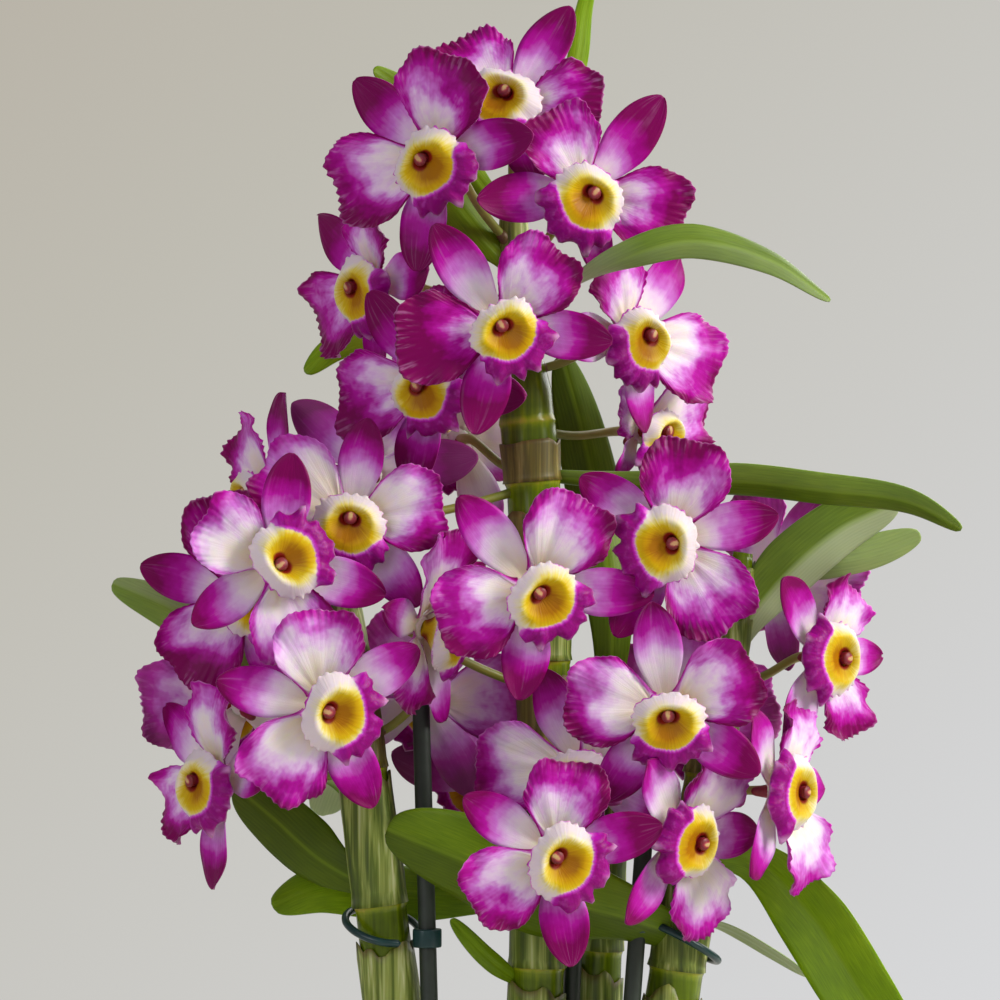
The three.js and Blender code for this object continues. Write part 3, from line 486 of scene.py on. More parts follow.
# Orchid leaf: leathery with a waxy gloss, parallel veins, a paler midrib and a duller, greyer underside.
# Darker greens are mixed in as painted shade where a leaf lies in shadow, and the underside's colour is laid
# on the upper face too, partly as painted light.
def leaf_skin():
    f = Finish("leaf_skin", Roughness=0.38, Subsurface_Weight=0.1, Subsurface_Scale=0.0012,
               Subsurface_Radius=(0.5, 1.0, 0.02), Specular_IOR_Level=0.2)
    across, along, under, dark, grey = (f.add("Attribute", attribute_name=trait)["Fac"]
                                        for trait in ("across", "along", "under", "dark", "grey"))
    drift = f.streaks(across * 0.25, along * 0.03, 0.0)
    phase = (across + drift * 0.5) * (2 * math.pi / VEIN_SPACING)
    line = (f.add("Math", phase, operation="SINE") + 1) * 0.5
    fibre = f.streaks(across * 3.2, along * 0.12, 2.0, 3)
    cloud = f.add("TexNoise", f.add("TexCoord")["Object"], Scale=45, Detail=2)
    tone = fibre * 0.5 + cloud * 0.5
    middle = f.add("MapRange", (f.add("Math", across, operation="ABSOLUTE"), 1.1, 0.2), **SOFT)
    colour = f.add("ValToRGB", tone, stops=[(0.3, "#567600"), (0.5, "#729404"), (0.7, "#8EAE14")])
    # painted shade: the darker greens mixed in where a leaf lies in shadow
    shaded = f.add("Mix", {SHARE: tone, UNDER: "#263000", OVER: "#425200"}, **COLOURS)[MIXED]
    streak = line * 0.12 + tone * 0.4
    below = f.add("Mix", {SHARE: streak, UNDER: "#8C9A70", OVER: "#BAC49A"}, **COLOURS)[MIXED]
    for share, coat in ((dark, shaded), (line * 0.06, "#86A820"), (middle * 0.35, "#7E9C1C"),
                        (under * 0.75, below), (grey, below)):
        colour = f.add("Mix", {SHARE: share, UNDER: colour, OVER: coat}, **COLOURS)[MIXED]
    height = line * 0.16 + fibre * 0.4 + middle * -0.8
    return f.done(colour, height, 0.12, 0.5, Roughness=fibre * 0.2 + 0.32)


# Living cane: smooth, glossy green skin, ribbed lengthwise, yellower at the joints.
def cane_skin():
    f = Finish("cane_skin", Roughness=0.24, Subsurface_Weight=0.1, Subsurface_Scale=0.0015,
               Subsurface_Radius=(0.6, 1.0, 0.05), Specular_IOR_Level=0.34)
    spot = f.add("TexCoord")["Object"]
    joint = f.add("Attribute", attribute_name="joint")["Fac"]
    x, y, z = f.add("SeparateXYZ", spot)
    fibre = f.streaks(x * 700, y * 700, z * 24)
    cloud = f.add("TexNoise", spot, Scale=60, Detail=3)
    colour = f.add("ValToRGB", fibre * 0.4 + cloud * 0.4 + joint * 0.3,
                   stops=[(0.28, "#3C4C00"), (0.45, "#5A6E00"), (0.62, "#808E10"), (0.85, "#AC9A30")])
    return f.done(colour, fibre, 0.25, 0.4)


# Dry leaf sheath: thin as paper, with broad soft stripes along it, from brown olive where it is
# old to silvery green where the cane shows through, and brown and ragged at its edge.
def sheath_paper():
    f = Finish("sheath_paper", Roughness=0.5, Subsurface_Weight=0.15, Subsurface_Scale=0.001)
    x, y, z = f.add("SeparateXYZ", f.add("TexCoord")["Object"])
    green, edge = (f.add("Attribute", attribute_name=trait)["Fac"]
                   for trait in ("green", "edge"))
    broad = f.streaks(x * 330, y * 330, z * 12)
    stripe = f.streaks(x * 1300, y * 1300, z * 20)
    tone = broad * 0.72 + stripe * 0.28
    colour = f.add("ValToRGB", tone,
                   stops=[(0.34, "#403608"), (0.48, "#5E5214"), (0.6, "#7E6E2C"), (0.74, "#AC9E5C")])
    young = f.add("ValToRGB", tone,
                  stops=[(0.34, "#344600"), (0.48, "#566A0A"), (0.58, "#909E48"), (0.72, "#D0D6A4")])
    for share, coat in ((green, young), (edge * 0.75, "#5C3A1E")):
        colour = f.add("Mix", {SHARE: share, UNDER: colour, OVER: coat}, **COLOURS)[MIXED]
    return f.done(colour, stripe, 0.15, 0.4)


# Plastic-coated steel stake: near black green, low gloss, faint ripples from the coating.
def stake_coating():
    f = Finish("plastic_coated_stake", Roughness=0.5)
    ripple = f.add("TexNoise", f.add("TexCoord")["Object"], Scale=240, Detail=2)
    colour = f.add("Mix", {SHARE: ripple, UNDER: "#161F18", OVER: "#2B362C"}, **COLOURS)[MIXED]
    return f.done(colour, ripple, 0.2, 0.5, Roughness=ripple * 0.2 + 0.38)


# Moulded polypropylene clip: dark teal, half gloss, a fine moulding texture.
def clip_plastic():
    f = Finish("moulded_polypropylene_clip", Roughness=0.3)
    spot = f.add("TexCoord")["Object"]
    cloud = f.add("TexNoise", spot, Scale=180, Detail=1)
    colour = f.add("Mix", {SHARE: cloud, UNDER: "#08262A", OVER: "#103E3C"}, **COLOURS)[MIXED]
    return f.done(colour, f.add("TexNoise", spot, Scale=1400, Detail=1), 0.05, 0.4)


# Glazed stoneware: off-white, with soft waves in the glaze and a few fine specks.
def stoneware_glaze():
    f = Finish("glazed_stoneware", Roughness=0.22, Coat_Weight=0.35, Coat_Roughness=0.08)
    spot = f.add("TexCoord")["Object"]
    wave = f.add("TexNoise", spot, Scale=26, Detail=2)
    speck = f.add("MapRange", (f.add("TexNoise", spot, Scale=700, Detail=1), 0.7, 0.76), **SOFT)
    colour = "#D0CBBF"
    for share, coat in ((wave, "#E2DED5"), (speck * 0.5, "#8E8371")):
        colour = f.add("Mix", {SHARE: share, UNDER: colour, OVER: coat}, **COLOURS)[MIXED]
    return f.done(colour, wave, 0.5, 0.35)


# Pine bark: brown chips with layered grain, matt, paler where they are worn.
def pine_bark():
    f = Finish("pine_bark", Roughness=0.85)
    spot = f.add("TexCoord")["Object"]
    layered = f.add("Mapping", Vector=spot, Scale=(260.0, 260.0, 900.0))
    layer = f.add("TexNoise", layered, Scale=1, Detail=4)
    cloud = f.add("TexNoise", spot, Scale=110, Detail=2)
    colour = f.add("ValToRGB", layer * 0.6 + cloud * 0.4,
                   stops=[(0.3, "#2A1A12"), (0.5, "#5A3A26"), (0.68, "#8A6244")])
    return f.done(colour, layer, 0.8, 0.8)


PETAL = petal_tissue("petal_tissue", veins=75.0, patches=0.78, highlight_dashes=0.3, highlight_dash_length=5.0, highlight_dash_start=0.72)
SEPAL = petal_tissue("sepal_tissue", veins=20.0, patches=0.42, highlight_dashes=0.12, highlight_dash_length=1.2, highlight_dash_start=0.3)
LIP = lip_tissue()
COLUMN = column_tissue()
STALK = stalk_skin()
LEAF = leaf_skin()
CANE = cane_skin()
SHEATH = sheath_paper()
STAKE = stake_coating()
CLIP = clip_plastic()
GLAZE = stoneware_glaze()
BARK = pine_bark()


# ---- canes, which the stalks leave -----------------------------------------------------------
CANES = {
    "middle": dict(
        path=[(8, 5, CANE_FOOT), (11, 5, 130), (12, 5, 175), (15, 6, 275), (10, 7, 358), (6, 7, 395),
              (4, 6, 446)],
        radii=[(74, 5), (130, 7.5), (175, 9), (275, 8.4), (350, 9), (378, 9), (396, 6.4),
               (430, 4.2), (446, 2.4)]),
    "left": dict(
        path=[(-24, -2, CANE_FOOT), (-32, -4, 130), (-36, -5, 175), (-44, -5, 240), (-50, -3, 290),
              (-53, -1, 320)],
        radii=[(74, 5), (130, 7.5), (175, 8.8), (235, 8.2), (290, 6.2), (320, 3)]),
    "right": dict(
        path=[(36, -3, CANE_FOOT), (50, -3, 130), (57, -4, 175), (63, -4, 215), (70, -2, 256),
              (77, 0, 296), (81, 2, 324)],
        radii=[(74, 5), (130, 7.5), (175, 9), (215, 8.4), (256, 7.2), (296, 5.4), (324, 3)]),
    "behind": dict(
        path=[(24, 22, CANE_FOOT), (30, 24, 130), (33, 24, 175), (36, 22, 235), (37, 20, 272)],
        radii=[(74, 4.5), (130, 6.5), (175, 7.6), (235, 6), (272, 3)]),
}
for cane in CANES.values():
    cane["curve"] = Path(cane["path"])


def cane_radius(cane, height):
    heights, radii = zip(*cane["radii"])
    return np.interp(height, heights, radii)


# ---- sepals and petals -----------------------------------------------------------------------
BLOOM_FINISHES = [PETAL, SEPAL, LIP, COLUMN, STALK, SHEATH]
IN_PETAL, IN_SEPAL, IN_LIP, IN_COLUMN, IN_STALK, IN_SHEATH = range(6)  # places in that list
BEND_STEPS = 12  # steps in which a blade's curl is added up


def width_share(form, s):
    root, widest, tip = form["root"], form["widest"], form["tip"]
    beyond = np.clip((s - widest) / (1 - widest), 0, 1)
    return np.where(s < widest, mix(root, 1, smooth(s / widest)),
                    mix(tip, 1, np.maximum(0, 1 - beyond**2.3) ** form["point"]))


class Blade:
    """The middle surface of one sepal or petal: s from root to tip, t from -1 to 1 across."""

    def __init__(self, kind, angle, seed, turn=0, length=1, lean=0):
        form = self.form = FORMS[kind]
        turned = math.radians(angle + turn)
        self.outwards = np.array([-math.sin(turned), 0, math.cos(turned)])
        self.forwards = np.array([0.0, -1.0, 0.0])
        self.sideways = np.cross(self.outwards, self.forwards)
        self.length = form["length"] * length
        self.width = form["width"] * min(1, length)
        self.lean, self.curl = form["lean"] + lean, form["curl"]
        self.phase = 3 * float(drawn(seed, angle))

    def at(self, s, t):
        form = self.form
        out, ahead = HUB_RADIUS * 0.8 + 0 * s, 0 * s
        for i in range(BEND_STEPS):
            a = np.radians(self.lean + self.curl * s * (i + 0.5) / BEND_STEPS)
            out = out + np.cos(a) * self.length * s / BEND_STEPS
            ahead = ahead + np.sin(a) * self.length * s / BEND_STEPS
        a = np.radians(self.lean + self.curl * s)[..., None]
        normal = self.forwards * np.cos(a) - self.outwards * np.sin(a)
        share = width_share(form, s)
        ripple = np.sin(2 * np.pi * form["waves"] * s + self.phase * (1 + np.sign(t)) + 1.7 * t)
        rise = form["wave"] * np.abs(t) ** 3 * smooth((s - 0.3) / 0.5) * ripple
        rise = rise + form["cup"] * self.width * t * t * share
        point = (out[..., None] * self.outwards + ahead[..., None] * self.forwards
                 + (self.width / 2 * share * t)[..., None] * self.sideways + rise[..., None] * normal)
        return point, normal


CRIMP_LENGTH = 2.6  # distance between two crimps of a petal's margin
SIDE_STEPS, TIP_STEPS = 80, 28  # points along a petal's outline: up each side, and over the tip
PETAL_ROWS = np.array([0.1, 0.24, 0.38, 0.5, 0.6, 0.69, 0.77, 0.84, 0.9, 0.945, 0.977, 1.0])
PETAL_COLUMNS = 133


def add_petal(skin, blade, seed, blush):
    """A petal as a fan from its root to its margin, crimped and frilled all along the margin."""
    s_side, t_tip = np.linspace(0.05, 1, SIDE_STEPS), np.linspace(-1, 1, TIP_STEPS + 2)[1:-1]
    s = np.concatenate([s_side, np.ones(TIP_STEPS), s_side[::-1]])
    t = np.concatenate([-np.ones(SIDE_STEPS), t_tip, np.ones(SIDE_STEPS)])
    half = blade.width / 2
    across = half * width_share(blade.form, s) * t
    run = np.concatenate([[0], np.cumsum(np.hypot(np.diff(s * blade.length), np.diff(across)))])
    arc = np.linspace(0, run[-1], PETAL_COLUMNS)
    s_edge, across_edge = np.interp(arc, run, s), np.interp(arc, run, across)
    rho = PETAL_ROWS[:, None]
    s_all = rho * s_edge + (1 - rho) * 0.02
    t_all = np.clip(rho * across_edge / (half * width_share(blade.form, s_all)), -1, 1)
    point, normal = blade.at(s_all, t_all)
    there = smooth((s_edge - 0.12) / 0.35)
    step = 2 * np.pi * arc / CRIMP_LENGTH + 2.4 * wander(arc / 5, seed, 1)
    crimp = np.sin(step) * (0.5 + 0.5 * wander(arc / 7, seed, 2)) * there
    fold = wander(arc / 9, seed, 3) * there
    furrow = wander(arc / 6, seed, 4)
    rise = rho**9 * 0.7 * crimp + rho**4 * 2.3 * fold + 0.35 * rho * (1 - rho) * 4 * furrow
    spread = 0.2 * rho**8 * np.sin(step + 1.1) * there + 1.2 * rho**5 * wander(arc / 7, seed, 5) * there
    outward = unit(point - blade.outwards * HUB_RADIUS)
    point = point + normal * rise[..., None] + outward * spread[..., None]
    thick = 0.5 * mix(0.62, 0.34, rho**3) * np.ones_like(s_all)
    # crest marks where the painted highlight goes: the crimps' crests, and a thin rim along the margin
    crest = rho**6 * np.maximum(crimp, 0) * (0.55 + 0.45 * wander(arc / 3, seed, 6))
    edge = smooth((rho - 0.98) / 0.02) * (0.5 + 0.3 * wander(arc / 4, seed, 8))
    front, back = point + normal * thick[..., None], point - normal * thick[..., None]
    lip_side = across_edge / half * (1 if blade.outwards[0] > 0 else -1)
    skin.shell(front, back, PETAL_ROWS, np.linspace(0, 1, PETAL_COLUMNS), IN_PETAL,
               fade=rho * (0.97 + 0.13 * lip_side) + 0 * s_all, blush=blush,
               crest=np.maximum(crest, edge), seed=seed * 1.7)


def add_sepal(skin, blade, seed, blush):
    """A sepal: smooth, a little keeled, with a fine point."""
    s = 1 - (1 - np.linspace(0, 1, 22)) ** 1.3
    t = np.linspace(-1, 1, 11)
    s_all, t_all = np.meshgrid(s, t, indexing="ij")
    point, normal = blade.at(s_all, t_all)
    bend = wander(s_all * 3 + 7 * (t_all > 0), seed, 1) * 1.1 * np.abs(t_all) ** 2 * s_all
    keel = -0.45 * np.exp(-((t_all / 0.16) ** 2)) * (1 - s_all)
    point = point + normal * (bend + keel)[..., None]
    thick = 0.5 * mix(0.9, 0.4, np.abs(t_all) ** 1.5)
    front, back = point + normal * thick[..., None], point - normal * thick[..., None]
    fade = s_all + 0.1 * np.abs(t_all) ** 2
    # crest marks a painted highlight along the sepal's edges
    crest = 0.3 * smooth((np.abs(t_all) - 0.93) / 0.07) * (0.5 + 0.5 * wander(s_all * 9, seed, 2))
    skin.shell(front, back, s, (t + 1) / 2, IN_SEPAL, fade=fade + 0.1, blush=blush, crest=crest,
               seed=seed * 1.7)


# ---- lip and column --------------------------------------------------------------------------
LIP_SIDES = 96
DISH_ROWS, LOBE_ROWS = 13, 10
LOBE_LENGTH = 7.4  # how far the front lobe stands beyond the mouth
MOUTH_SHARE = 0.89  # of the solid's mouth; the frill makes up the rest
LOBE_HALF_ANGLE = 50
FRILL_LENGTH = 1.4  # how far the margin stands beyond the mouth away from the lobe
RING_DROP = 4.4  # how far the ring's margin bends back
GOLD_CENTRE, GOLD_RADIUS = -2.9, 8.1
COLUMN_RISE = 1.7  # how far the column and its pit stand above the middle of the dish
STAIN_RADIUS = 2.5
# the lip's inner face from the column out to the margin: radius, and depth below the ring's crest
DISH_RADII = (2.1, 2.5, 3.2, 4.5, 6.0, 7.6, 9.0, 10.6, 12.0)
DISH_DEPTHS = (5.5, 3.5, 3.0, 2.4, 1.6, 0.7, 0.1, 0, 0)
DISH_SHARES = (0, 0.18, 0.32, 0.46, 0.59, 0.71, 0.82, 0.92, 1)


def tilted(points):
    """Turns the lip and column away from the top sepal."""
    a = math.radians(LIP_TILT)
    y, z = points[..., 1], points[..., 2]
    return np.stack([points[..., 0], y * math.cos(a) - z * math.sin(a),
                     y * math.sin(a) + z * math.cos(a)], -1)


def ruffle(turn, seed, *counts):
    """Waves round a ring, a whole number of each kind."""
    return sum(np.sin(n * turn + math.pi * drawn(seed, n)) for n in counts) / len(counts)


def add_lip(skin, seed):
    """A trumpet filled by a shallow golden dish, with a thin ring bent back round it and a
    ruffled lobe in front."""
    turn = round_angles(LIP_SIDES)
    front = (1 - np.cos(turn)) / 2
    off = np.degrees(np.abs(turn - np.pi))
    lobe = 1 - smooth((off - LOBE_HALF_ANGLE) / 26)
    k = np.linspace(0, 1, DISH_ROWS)[:, None]
    oval = mix(0.72, 0.7 + 0.24 * k * k, front)
    size = 0.96 + 0.05 * float(drawn(seed, 7))
    mouth = LIP_MOUTH_RADIUS * MOUTH_SHARE * size
    crest = LIP_LENGTH * mix(0.78, 1, front) * (1 - 0.25 * front)
    drop = RING_DROP * (1 - 0.75 * lobe)
    wobble = k**3 * 0.8 * ruffle(turn, seed, 2, 3, 5)
    flare = mix(LIP_ROOT_RADIUS, mouth, 0.6 * smooth(k) + 0.4 * k * k) + wobble
    reach = (crest - drop) * (0.55 * k + 0.45 * (1 - (1 - k) ** 2)) - 0.3
    outer = np.stack([-np.sin(turn) * flare, -reach, np.cos(turn) * flare * oval], -1)
    flare = np.interp(k, DISH_SHARES, DISH_RADII) * mix(1, size, k) + wobble
    reach = np.maximum(crest - np.interp(k, DISH_SHARES, DISH_DEPTHS) - drop * smooth((k - 0.72) / 0.36), 0.5)
    lift = COLUMN_RISE * (1 - smooth(k / 0.75))
    inner = np.stack([-np.sin(turn) * flare, -reach, np.cos(turn) * flare * oval + lift], -1)
    # the frill and the lobe go on from the mouth, bending backwards as they go
    e = np.linspace(0, 1, LOBE_ROWS + 1)[1:]
    length = mix(FRILL_LENGTH, LOBE_LENGTH, lobe)
    radial = unit(np.stack([-np.sin(turn), 0 * turn, 0.85 * np.cos(turn)], -1))
    back = np.array([0, 1.0, 0])
    point = inner[-1].copy()
    rows, headings = [], []
    for i, step in enumerate(np.diff(np.concatenate([[0], e]))):
        heading = np.radians(mix(mix(42, -12, lobe), mix(60, 64, lobe), e[i]))
        point = (point + radial * (np.cos(heading) * step * length)[:, None]
                 + back * (np.sin(heading) * step * length)[:, None])
        rows.append(point.copy())
        headings.append(heading)
    beyond, heading = np.array(rows), np.array(headings)[..., None]
    facing = radial * np.sin(heading) - back * np.cos(heading)
    ee = e[:, None]
    rise = ee**1.2 * (1.8 * lobe * ruffle(turn, seed + 1, 9, 13)
                      + mix(0.75, 1.2, lobe) * ruffle(turn, seed + 2, 19, 25))
    fringe = ee * mix(0.3, 0.9, lobe) * ruffle(turn, seed + 3, 11, 17)
    beyond = beyond + facing * rise[..., None] + radial * fringe[..., None]
    face = np.concatenate([inner, beyond])
    down = np.gradient(face, axis=0)
    ring = np.concatenate([face[:, -1:], face, face[:, :1]], 1)
    normal = unit(np.cross(down, (ring[:, 2:] - ring[:, :-2]) / 2))
    thick = np.linspace(0.55, 0.36, LOBE_ROWS)[:, None, None]
    behind = np.concatenate([outer, beyond - normal[DISH_ROWS:] * thick])
    x, z = face[..., 0], face[..., 2]
    shade = 0.06 * float(drawn(seed, 8))
    blob = 1 + 0.16 * ruffle(turn, seed + 6, 1, 2, 3, 5)
    gold = 1.35 + shade - np.hypot(x / 1.1, z - GOLD_CENTRE) / GOLD_RADIUS * blob
    stain = 1.35 - np.hypot(np.abs(x) - 1.6, z - COLUMN_RISE + 0.8) / STAIN_RADIUS
    stain = stain * smooth((np.arange(len(face))[:, None] - 0.5) / 2)
    reached = np.concatenate([np.zeros(DISH_ROWS), e])[:, None]
    row_in = np.concatenate([k[:, 0], np.ones(LOBE_ROWS)])[:, None]
    blot = 0.5 + 0.5 * ruffle(turn, seed + 4, 2, 3, 5)
    rim = mix(smooth((reached - 0.1) / 0.9) * (0.08 + 0.75 * blot**2),
              smooth((reached + 0.12 * (row_in > 0.97)) / 0.22), lobe)
    # painted highlight: the crest trait marks the ruffles' crests and the margin
    painted_highlight = np.concatenate([np.zeros((DISH_ROWS, LIP_SIDES)), np.maximum(rise, 0) / 2 * ee])
    painted_highlight = np.maximum(painted_highlight, mix(0.25, 0.7, lobe) * smooth((reached - 0.88) / 0.12))
    skin.shell(tilted(face), tilted(behind), np.linspace(0, 1, len(face)), np.linspace(0, 1, LIP_SIDES + 1),
               IN_LIP, wrap=True, gold=gold, stain=stain, rim=rim, crest=painted_highlight, seed=seed * 1.7)


def add_column(skin):
    """The column with its cap, and the short blunt spur behind."""
    path = Path([(0, -1, 0), (0, -7, 1.2), (0, 1.2 - COLUMN_LENGTH, COLUMN_RISE)])
    share = np.linspace(0, 1, 10)
    rings = rings_along(path, share, mix(1.7, 2.1, share), 14, flat=0.85)
    skin.tube(tilted(rings), material=IN_COLUMN, stain=mix(0.2, 0.75, smooth((share - 0.5) / 0.4))[:, None])
    theta = np.linspace(0.06, np.pi - 0.06, 11)[:, None]
    phi = round_angles(16)
    cap = np.stack([2.2 * np.sin(theta) * np.cos(phi), 1.0 - COLUMN_LENGTH - 0.9 * np.cos(theta) + 0 * phi,
                    COLUMN_RISE - 0.2 + 2.1 * np.sin(theta) * np.sin(phi)], -1)
    side = np.hypot(np.sin(theta) * np.cos(phi), 0.6 * np.minimum(np.sin(theta) * np.sin(phi) - 0.2, 0))
    skin.tube(tilted(cap), material=IN_COLUMN, stain=0.08 + 0.8 * smooth((side - 0.18) / 0.4))
    spur = Path([(0, 0.5, -1.2), (0, 3.4, -2.8), (0, 6.2, -4.4)])
    share = np.array([0, 0.25, 0.5, 0.75, 0.88, 0.96, 1.0])
    skin.tube(rings_along(spur, share, np.array([2.4, 2.2, 1.9, 1.6, 1.3, 0.8, 0.3]), 12), material=IN_COLUMN,
              stain=np.linspace(0.5, 0.95, 7)[:, None])
    hub = Path([(0, 1.3, 0), (0, 0.4, 0), (0, -1.2, 0)])
    skin.tube(rings_along(hub, np.array([0, 0.2, 0.55, 1.0]), np.array([2.2, 3.6, 4.4, 3.0]), 18),
              material=IN_SEPAL, fade=0.25)


def bloom_matrix(at, yaw, pitch, roll, size):
    a, b, c = (math.radians(x) for x in (yaw, -pitch, -roll))
    about_z = np.array([[math.cos(a), -math.sin(a), 0], [math.sin(a), math.cos(a), 0], [0, 0, 1]])
    about_x = np.array([[1, 0, 0], [0, math.cos(b), -math.sin(b)], [0, math.sin(b), math.cos(b)]])
    about_y = np.array([[math.cos(c), 0, math.sin(c)], [0, 1, 0], [-math.sin(c), 0, math.cos(c)]])
    matrix = np.eye(4)
    matrix[:3, :3] = about_z @ about_x @ about_y * size
    matrix[:3, 3] = at
    return matrix


def add_stalk(skin, matrix, cane, height, via):
    """The stalk leaves the bloom straight backwards and bends down into its cane."""
    curve = CANES[cane]["curve"]
    root = curve.at(curve.share_at_height(height))
    in_hub, behind = (matrix[:3, :3] @ np.array([0, y, 0]) + matrix[:3, 3] for y in (-0.2, 9))
    between = [np.array(p, float) for p in via] or [(behind + root) / 2 + (0, 0, -2)]
    path = Path([in_hub, behind, *between, root])
    share = np.linspace(0, 1, 26)
    radius = mix(STALK_TOP_RADIUS * 0.85, STALK_RADIUS, smooth(share / 0.35))
    radius = radius + 0.5 * np.exp(-(((share - 0.93) / 0.04) ** 2))
    rings = rings_along(path, share, radius, 10)
    back = np.linalg.inv(matrix)
    skin.tube(moved(rings, back), material=IN_STALK)
    # a dry bract sits round the stalk where it leaves the cane
    wrapped = np.minimum(9 / path.length, 0.3) * np.array([0.0, 0.05, 0.4, 0.8, 1.0])
    rings = rings_along(path, 1 - wrapped[::-1], np.array([1.5, 2.0, 2.1, 2.2, 2.2]), 10)
    skin.tube(moved(rings, back), material=IN_SHEATH, edge=np.array([1.0, 0.9, 0.4, 0.1, 0])[:, None])


def bloom(number, place, at, look, cane, height, size=1.0, via=(), tepals=None, blush=0.0, blushes=None):
    """One bloom with its stalk. tepals and blushes change single sepals and petals."""
    skin = Skin("fade", "blush", "crest", "gold", "stain", "rim", "under", "seed", "edge")
    for i, (kind, angle) in enumerate(TEPALS):
        blade = Blade(kind, angle, number, *(tepals or {}).get(i, ()))
        tone = blush + (blushes or {}).get(i, 0.0) + 0.1 * float(drawn(number, i, 9))
        (add_petal if kind == "petal" else add_sepal)(skin, blade, number * 5 + i, tone)
    add_lip(skin, number * 5 + 31)
    add_column(skin)
    matrix = bloom_matrix(at, *look, size)
    add_stalk(skin, matrix, cane, height, via)
    name = f"bloom_{number:02}_{place}"
    dress(skin.make(f"{name}_petals", BLOOM_FINISHES, matrix), name)


# each bloom's place, where it stands, and how it looks: yaw to the right, pitch upwards and roll
# anticlockwise. Then the cane that its stalk leaves, and at what height. tepals give the turn,
# length and lean of single sepals and petals.
BLOOMS = [
    ("top", (3, -10, 471), (-8, 28, -27), "middle", 440, dict(size=1.04, blush=0.17,
     tepals={0: (0, 1.12, 2), 1: (-4, 0.84), 2: (0, 0.9), 3: (0, 0.85), 4: (2, 0.88)})),
    ("top_left", (-21, -25, 454), (-25, -5, 45), "middle", 425, dict(size=1.04, blush=0.04,
     blushes={4: 0.1, 0: 0.1}, tepals={1: (-5,), 2: (-7,), 3: (7,), 4: (5,)})),
    ("top_right", (28, -25, 442), (14, 0, -38), "middle", 418, dict(size=1.04,
     blushes={0: 0.16, 4: 0.2, 2: 0.2, 1: 0.06}, tepals={0: (0, 1.1), 1: (0, 0.85), 3: (0, 0.7),
     4: (0, 0.94)})),
    ("upper_front", (0.5, -45, 398), (0, 0, 34), "middle", 398, dict(blushes={1: 0.36, 2: 0.24, 3: 0.14},
     tepals={0: (0, 1.1), 4: (-4, 0.93)})),
    ("upper_left", (-41, 7, 414), (-55, -6, 48), "middle", 408, dict(blush=0.1, tepals={2: (0, 0.85),
     4: (0, 0.76)})),
    ("left_of_middle", (-22, -18, 381), (-28, -8, 33), "middle", 372, dict(blush=0.1)),
    ("upper_right", (42, 2, 396), (45, 3, -40), "middle", 384, dict(size=1.04, blush=-0.08,
     tepals={1: (0, 0.8), 3: (0, 0.85), 4: (0, 1.08)})),
    ("right_of_middle", (47, 21, 365), (55, 0, 0), "middle", 366, dict(blush=-0.1, tepals={0: (0, 0.75),
     1: (0, 0.6), 2: (0, 0.55)})),
    ("middle_back", (-14, 27, 362), (-150, 0, 20), "middle", 350, dict(blush=-0.12)),
    ("west_front", (-49, -28, 335), (2, 6, -10), "middle", 346, dict(blush=-0.08, tepals={0: (0, 0.93),
     4: (-4, 0.92)})),
    ("west_behind", (-43, -4, 351), (168, 0, -50), "left", 318, dict(blush=0.1, tepals={4: (0, 0.72)})),
    ("west_low", (-72, -48, 321), (8, 0, 125), "left", 302, dict(via=[(-71, -37, 309), (-63, -16, 303)],
     blushes={1: -0.08, 4: -0.1}, tepals={0: (0, 0.93), 1: (0, 0.94), 2: (-3,), 4: (2, 0.86)})),
    ("west_high", (-75, 8, 344), (-62, 0, -18), "left", 316, dict(tepals={0: (-5,), 1: (-6, 0.85),
     3: (0, 1, -6), 4: (0, 0.72)})),
    ("west_far", (-84, -12, 310), (-4, 0, 72), "left", 300, dict(blush=0.1, tepals={0: (2,), 4: (8,)})),
    ("west_centre", (-57, -54, 275), (10, -5, 75), "left", 276, dict(blush=-0.02, tepals={4: (0, 0.95)})),
    ("west_down", (-92, -22, 250), (-54, 0, 50), "left", 252, dict(tepals={1: (0, 0.86), 4: (0, 0.9)})),
    ("west_side", (-86, 6, 273), (-150, 0, -13), "left", 268, dict(tepals={0: (0, 0.85), 3: (-6,),
     4: (-8,)})),
    ("centre", (11, -47, 313), (8, -5, 40), "middle", 300, dict(blushes={3: 0.06}, tepals={0: (0, 1.1),
     3: (0, 1.08)})),
    ("centre_left", (-26, -27, 300), (60, -10, 77), "middle", 276, dict(blush=-0.12, tepals={0: (0, 0.8),
     1: (0, 0.8)})),
    ("east_high", (55, -39, 329), (5, -6, -77), "right", 316, {}),
    ("east_centre", (54, -45, 273.5), (0, -5, 8), "right", 266, dict(tepals={1: (5,), 2: (4,),
     4: (-3, 0.93)})),
    ("low_behind", (27, -13, 252), (-20, 0, 20), "behind", 240, {}),
    ("low_front", (17, -60, 228), (5, 0, 57), "behind", 226, dict(via=[(19, -38, 234), (28, -14, 229)],
     blush=0.05, tepals={0: (0, 0.95), 1: (-4, 0.9), 4: (0, 0.89)})),
    ("low_back", (-3, 25, 245), (200, 0, 60), "middle", 240, dict(blush=0.15)),
    ("middle_low", (-25, 8, 274), (165, 0, 20), "left", 262, dict(blush=0.05)),
    ("east_low", (58, -33, 232), (47, -10, -90), "right", 230, dict(blush=-0.05)),
    ("east_down", (90, -22, 246), (62, 0, -90), "right", 248, dict(blush=-0.1, tepals={0: (0, 0.9),
     1: (0, 0.88)})),
    ("east_far", (107, 5, 289), (48, 0, -90), "right", 280, dict(tepals={0: (0, 0.8), 1: (0, 0.78),
     4: (0, 0.8)})),
    ("east_back", (91, 36, 314), (140, 0, 35), "right", 300, dict(tepals={2: (0, 0.85)})),
    ("east_behind", (60, 36, 266), (165, 0, 10), "right", 256, {}),
]
for number, (*facts, more) in enumerate(BLOOMS, 1):
    bloom(number, *facts, **more)


